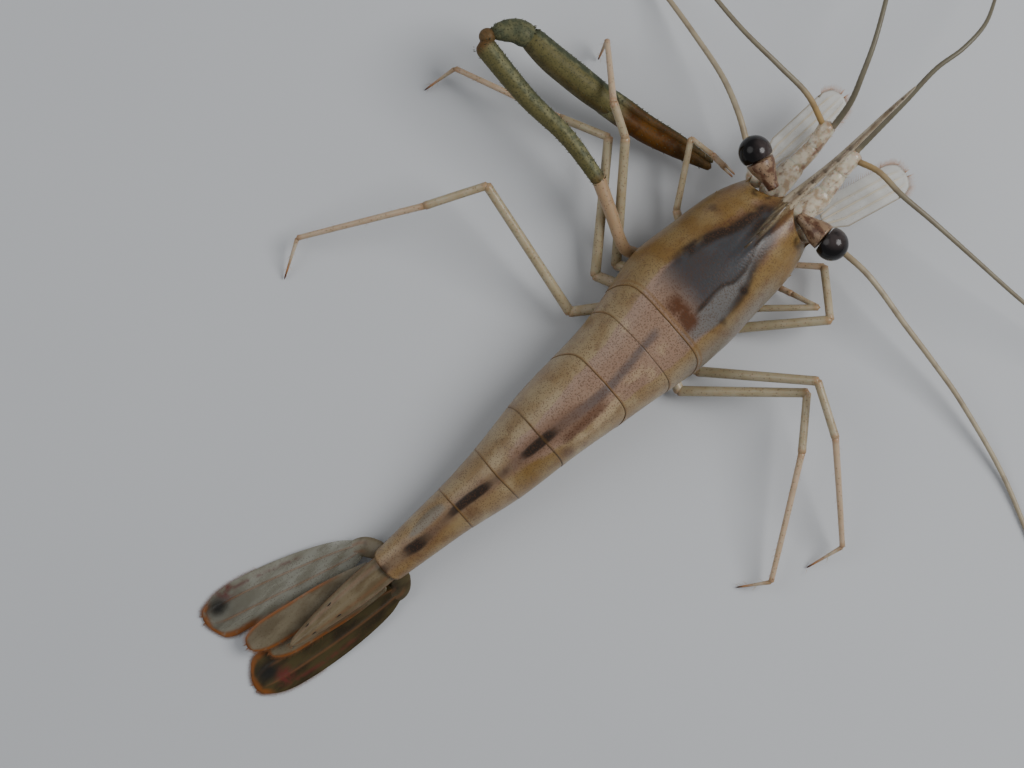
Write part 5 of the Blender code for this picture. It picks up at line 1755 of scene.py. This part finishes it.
for side, (root, heading, length, widest) in SCALES.items():
    outer = outer_sign(side)
    start = Vector(root)
    ribs = (outer * 0.5, 0.0, -outer * 0.45)

    def scale_level(s, u):
        return start.z + 0.25 * math.cos(u * 1.2) - 0.5 * s

    def scale_marks(s, u):
        outer_edge = 1 - ease((1 - u * outer) * scale.half(s, u), 0.08, 0.3)
        return {"rib": rib_value(scale, s, u, ribs), "edge": outer_edge * (1 - ease(s, 0.8, 0.9))}

    scale = Blade(start, heading, length, scale_shape(widest), scale_level)
    bm = bmesh.new()
    put_blade(bm, scale, SCALE_THICKNESS, ribs, scale_marks)
    forward, right = heading_vectors(heading)
    tooth = start + forward * length * TOOTH_SHARE + right * outer * widest * 0.92
    tooth.z = scale_level(TOOTH_SHARE, outer)
    put_spine(bm, tooth, forward, radius=0.2, length=1.1, sunk=0.3, segments=8, marks={"edge": 1.0})
    inner_span = {-outer: (0.3, 0.8)}
    end_spans = {-outer: (0.8, 0.998), outer: (0.86, 0.998)}
    put_fringe(bm, scale, inner_span, reach=1.1, spacing=0.25, marks={"fringe": 0.8}, seed=side)
    put_fringe(bm, scale, end_spans, reach=1.0, spacing=0.055, marks={"fringe": 1.0}, seed=side)
    finish("antennal_scale_" + side, bm, clear, ["antennal_scale_" + side])

# %% [markdown]
# ## Finish of the tail fan
#
# The tail fan is a pointed middle plate, the telson, and two blades on each side. All share
# one finish: grey, golden or dark brown streaks, warm orange red edges, nearly black spots
# and thinner places that let the floor show through a little.

# %% Finish of the tail fan
FAN_GREY = (0.215, 0.2, 0.145)
FAN_PALE = (0.34, 0.335, 0.275)
FAN_GOLD_DARK = (0.115, 0.07, 0.024)
FAN_GOLD = (0.175, 0.12, 0.05)
FAN_BROWN_DARK = (0.028, 0.018, 0.005)
FAN_BROWN = (0.062, 0.046, 0.014)
FAN_RIB = (0.2, 0.085, 0.035)
FAN_ORANGE = (0.2, 0.062, 0.009)
FAN_RED = (0.125, 0.022, 0.017)
FAN_BLACK = (0.011, 0.01, 0.008)
FAN_FRINGE = (0.26, 0.09, 0.02)

fan, tree, shader = start_material("fan_blade", 0.36, coat=0.12, gloss=0.3)
streaks = patches(tree, 1.3, 4.0, stretch=(1.0, 0.25, 1.0))
colour = lay(
    tree, blend(tree, streaks, FAN_GREY, FAN_PALE),
    ("gold", 0.9, blend(tree, streaks, FAN_GOLD_DARK, FAN_GOLD)),
    ("brown", 1.0, blend(tree, streaks, FAN_BROWN_DARK, FAN_BROWN)),
    ("rib", 0.6, FAN_RIB),
    (speckles(tree, 0.35, 0.09), 0.35, SPECK_BROWN),
    (broken(tree, "edge", 1.0, 0.15, 0.5), 0.95, FAN_ORANGE),
    (broken(tree, "red", 1.0, 0.3, 0.6), 0.85, FAN_RED),
    (ragged(tree, "spot", 0.8, 0.3, 0.25, 1.2, 3.0), 1.0, FAN_BLACK),
    ("fringe", 0.9, FAN_FRINGE),
)
feed(tree, shader.inputs["Base Color"], colour)
cover = calc(tree, "SUBTRACT", 1.0, calc(tree, "MULTIPLY", mark(tree, "clear"), 0.6))
feed(tree, shader.inputs["Alpha"], calc(tree, "MAXIMUM", cover, strongest(tree, "edge", "rib", "spot")))
bump(tree, shader, mottle(tree, 0.4, 2.0, stretch=(1.0, 0.4, 1.0)), 0.05)
print("fan material nodes:", len(tree.nodes))

# %% [markdown]
# ## Blades of the tail fan
#
# The outer blade of each side has two ribs, a dark spot near its end and a red edge beside
# it, and a small hip joins it to the body. The inner blade is plain and golden. Bristles
# stand along the ends of all four.

# %% Blades of the tail fan
FAN_THICKNESS = 0.36
FAN_FRINGE_SPAN = (0.6, 0.998)
EXOPOD_LENGTH = 24.2
EXOPOD_OUTER = (
    (0, 1.0), (0.11, 2.1), (0.32, 2.95), (0.56, 3.3), (0.78, 3.1), (0.89, 2.5), (0.96, 1.6), (1.0, 0.9),
)
EXOPOD_INNER = (
    (0, 1.3), (0.1, 2.3), (0.2, 2.7), (0.4, 3.1), (0.56, 3.3), (0.7, 3.55), (0.8, 3.75), (0.87, 3.8),
    (0.93, 3.3), (1.0, 0.9),
)
EXOPOD_RIBS = (0.333, -0.333)
EXOPOD_Z = (1.5, 0.0)
# Each outer blade has its root, its heading, its hip's x and how brown and how clear it is.
EXOPODS = {
    "left": ((-3.5, -54.4), -163.3, -0.6, 0.1, 0.7),
    "right": ((4.4, -54.5), -172.6, 2.3, 1.0, 0.0),
}
# The dark spot of each outer blade: how far down the blade and how far across it.
DARK_SPOTS = {"left": (21.5, 0.7), "right": (21.5, 0.8)}
HIP_START = (-52.2, 3.5)
HIP_Z = 1.85
HIP_REACH = 3.6
HIP_SINK = 0.8
HIP_RADII = (1.25, 1.35, 1.4, 1.2, 0.8, 0.3)
# Each inner blade has its root, its heading, its length and the heights of its root and tip.
ENDOPODS = {
    "left": ((-0.1, -54.9), -169.8, 20.6, (3.35, 1.9)),
    "right": ((2.1, -55.1), -169.8, 18.9, (2.55, 1.1)),
}
ENDOPOD_HALF = 2.1
ENDOPOD_MARKS = {"gold": 0.75, "brown": 0.15, "clear": 0.35}


def endopod_half(s, u):
    """The half width of an inner blade from its root to its rounded end."""
    root = 0.6 + 0.4 * math.sin(min(1.0, max(0.0, s) / 0.45) * math.pi / 2)
    tip = math.sqrt(max(0.0, 1 - max(0.0, (s - 0.78) / 0.22) ** 2))
    return ENDOPOD_HALF * min(root, 0.12 + 0.88 * tip)


def fan_level(levels):
    """The height of a blade that sinks from its root to its tip, as a function."""
    root_z, tip_z = levels

    def level(s, u):
        sink = min(1.0, max(0.0, s) / 0.7)
        return root_z + 0.28 + (tip_z - root_z) * (1 - (1 - sink) ** 1.6)
    return level


def put_fan_blade(bm, blade, ribs, paint, seed):
    def marks(s, u):
        edge = edge_value(blade, s, u, 0.4, 0.2) * ease(s, 0.15, 0.4)
        return {"edge": edge, "rib": rib_value(blade, s, u, ribs), **paint(s, u)}

    put_blade(bm, blade, FAN_THICKNESS, ribs, marks)
    spans = {-1: FAN_FRINGE_SPAN, 1: FAN_FRINGE_SPAN}
    put_fringe(bm, blade, spans, reach=0.65, spacing=0.13, marks={"fringe": 1.0}, seed=seed)


for side, (root, heading, hip_x, brown, clear_share) in EXOPODS.items():
    outer = outer_sign(side)
    spot_down, spot_across = DARK_SPOTS[side]

    def exopod_half(s, u):
        return along(EXOPOD_INNER if u * outer > 0 else EXOPOD_OUTER, s)

    def exopod_paint(s, u):
        half = exopod_half(s, u)
        down = s * EXOPOD_LENGTH - spot_down
        across = u * half - spot_across
        inner = u * outer > 0
        strip = 0.0 if inner else bell(abs(u * half) - 0.72 * half, 0.25) * ease(s, 0.3, 0.4)
        beside_spot = 1 - ease(math.hypot(down + 1.7, across + outer * 1.7), 0.5, 2.0)
        edge_start = ease(s, 0.66, 0.76) if inner else ease(s, 0.9, 0.96)
        return {
            "brown": max(brown, 0.45 * ease(s, 0.55, 0.85)),
            "clear": clear_share * (1 - ease(abs(u * half), 1.8, 3.0) * 0.5),
            "edge": edge_value(exopod, s, u, 0.8, 0.3) * edge_start,
            "red": max(0.7 * strip * (1 - ease(s, 0.8, 0.86)), beside_spot),
            "spot": 1 - ease(math.hypot(0.75 * down, across), 0.0, 2.4),
        }

    def hip_marks(s, t):
        across = across_tube(t)
        return {
            "brown": 0.25 + 0.6 * brown,
            "gold": 0.8 * (1 - ease(s, 0.3, 0.8)),
            "rib": bell(abs(across) - 0.45, 0.16) * ease(s, 0.3, 0.5),
            "spot": 0.5 * bell(s - 0.42, 0.05) * bell(across - 0.3, 0.5),
        }

    exopod = Blade(Vector((*root, 0)), heading, EXOPOD_LENGTH, exopod_half, fan_level(EXOPOD_Z))
    bm = bmesh.new()
    put_fan_blade(bm, exopod, EXOPOD_RIBS, exopod_paint, "exopod " + side)
    start = Vector((*root, HIP_Z))
    hip_end = start + heading_vectors(heading)[0] * HIP_REACH - Vector((0, 0, HIP_SINK))
    hip = smooth_path([(hip_x, *HIP_START), start, hip_end], count=40)
    put_tube(bm, hip, lambda s: evenly(HIP_RADII, s), around=32, flat=0.28, marks=hip_marks)
    keep_above_floor(bm)
    finish("uropod_exopod_" + side, bm, fan, ["uropod_exopod_" + side])

    root, heading, length, levels = ENDOPODS[side]
    endopod = Blade(Vector((*root, 0)), heading, length, endopod_half, fan_level(levels))
    bm = bmesh.new()
    put_fan_blade(bm, endopod, (), lambda s, u: ENDOPOD_MARKS, "endopod " + side)
    finish("uropod_endopod_" + side, bm, fan, ["uropod_endopod_" + side])

# %% [markdown]
# ## Telson
#
# The telson is the pointed plate in the middle of the fan, with a shallow groove along it.
# It has two pairs of dark spines on top, one pair at its end and a few bristles between
# them.

# %% Telson
# Each row has its place along, then the half width and the heights of the lower and upper side.
TELSON = (
    (-70.6, 0.2, 3.4, 4.0), (-69.2, 0.7, 3.45, 4.2), (-66.5, 1.15, 3.6, 4.6), (-62.0, 1.7, 3.9, 5.2),
    (-57.5, 2.05, 4.25, 5.95), (-55.0, 2.05, 4.3, 6.35), (-52.6, 2.0, 4.3, 6.65),
)
TELSON_LENGTH = TELSON[-1][0] - TELSON[0][0]
TELSON_X = (0.85, 0.1)
# The share of its length over which each end is rounded.
TELSON_ROUNDED = 1 / 34.6
TELSON_SPINES = (-62.2, -66.3)
TELSON_SPINE = 1.1
TELSON_TIP_Y = -70.0
GROOVE_DEPTH = 0.12
TIP_BRISTLES = 5


def telson_x(y):
    share = (TELSON[-1][0] - y) / TELSON_LENGTH
    return TELSON_X[0] + (TELSON_X[1] - TELSON_X[0]) * share


def telson_place(s, t):
    y = TELSON[-1][0] - TELSON_LENGTH * s
    closing = round_off(s, 1.0, TELSON_ROUNDED)
    u = across_tube(t)
    v = math.sin(2 * math.pi * t)
    half, low, high = (from_column(TELSON, number, y) for number in (1, 2, 3))
    middle = low + 0.3 * (high - low)
    if v > 0:
        rise = (high - middle) * v - GROOVE_DEPTH * bell(u, 0.16)
    else:
        rise = (middle - low) * v * 0.9
    return Vector((telson_x(y) + closing * u * half, y, middle + closing * rise))


def telson_marks(s, t):
    across = abs(across_tube(t))
    return {
        "gold": 0.9,
        "brown": 0.1,
        "rib": 0.7 * bell(across - 0.55, 0.12),
        "edge": 0.4 * ease(across, 0.85, 0.99),
        "spot": 0.7 * bell(s * TELSON_LENGTH - 0.6, 1.5) * bell(across, 0.5),
    }


bm = bmesh.new()
put_grid(bm, telson_place, steps=110, around=56, paint=telson_marks, weld=True)
for y in TELSON_SPINES:
    for turn in (-1, 1):
        across = turn * 0.6 * from_column(TELSON, 1, y)
        root = (telson_x(y) + across, y, from_column(TELSON, 3, y) - 0.3)
        put_spine(bm, root, (0, -1, 0.3), 0.17, TELSON_SPINE, sunk=0.3, segments=8, marks={"spot": 1.0})
tip_x = telson_x(TELSON_TIP_Y)
for turn in (-1, 1):
    root = (tip_x + turn * 0.35, TELSON_TIP_Y + 0.2, 3.75)
    put_spine(bm, root, (turn * 0.25, -1, 0), 0.12, TELSON_SPINE, sunk=0.3, segments=8, marks={"spot": 0.8})
    for k in range(TIP_BRISTLES):
        root = (tip_x + turn * 0.07 * k, TELSON_TIP_Y - 0.2, 3.7)
        way = (turn * 0.08 * k, -1, 0)
        put_spine(bm, root, way, HAIR, TELSON_SPINE, sunk=0.2, segments=3, marks={"fringe": 1.0})
finish("telson", bm, fan, ["telson"])

# %% [markdown]
# ## Swimmerets
#
# Five pairs of soft paddles hang under the tail. Each has a short stem and a clear leaf
# that folds back along the belly, edged with swimming bristles.

# %% Swimmerets
# Each pair has its place along, the height of its roots and the length of its leaves.
SWIMMERETS = {
    1: (-7.6, 5.6, 4.2), 2: (-11.6, 4.6, 7.6), 3: (-20.4, 4.2, 7.8), 4: (-29.2, 3.6, 6.6),
    5: (-36.6, 3.1, 5.4),
}
SWIMMERET_SPREAD = 0.36
ELBOW_BACK = 1.3
ELBOW_Z = 2.2
LEAF_SHARE = 0.22
LEAF_THICKNESS = 0.3
LEAF_HEADING = 180.0
LEAF_SPAN = (0.2, 0.99)


def leaf_level(s, u):
    return 0.3 + max(0.0, 1.9 - 3.0 * s)


for number, (y, root_level, length) in SWIMMERETS.items():
    size = LEAF_SHARE * along(HALF_WIDTH, y)

    def leaf_half(s, u):
        return size * (0.35 + 0.65 * math.sin(min(1.0, 0.15 + 1.1 * max(s, 0.0)) * math.pi) ** 0.6)

    for side in ("left", "right"):
        name = f"pleopod_{number}_{side}"
        across = outer_sign(side) * SWIMMERET_SPREAD * along(HALF_WIDTH, y)
        root = body_point(y, across, root_level)
        elbow = Vector((root.x, y - ELBOW_BACK, ELBOW_Z))
        leaf = Blade(elbow, LEAF_HEADING, length, leaf_half, leaf_level)
        bm = bmesh.new()
        put_segments(bm, [root, elbow], [(0.58, 0.56)], ({},), bow=0.0, around=18)
        put_blade(
            bm, leaf, LEAF_THICKNESS, (0.0,), lambda s, u: {"rib": 0.6 * rib_value(leaf, s, u, (0.0,))},
            steps=40, around=40,
        )
        spans = {-1: LEAF_SPAN, 1: LEAF_SPAN}
        put_fringe(bm, leaf, spans, reach=0.6, spacing=0.3, marks={"fringe": 0.7}, seed=f"{number} {side}")
        keep_above_floor(bm)
        finish(name, bm, clear, [name])
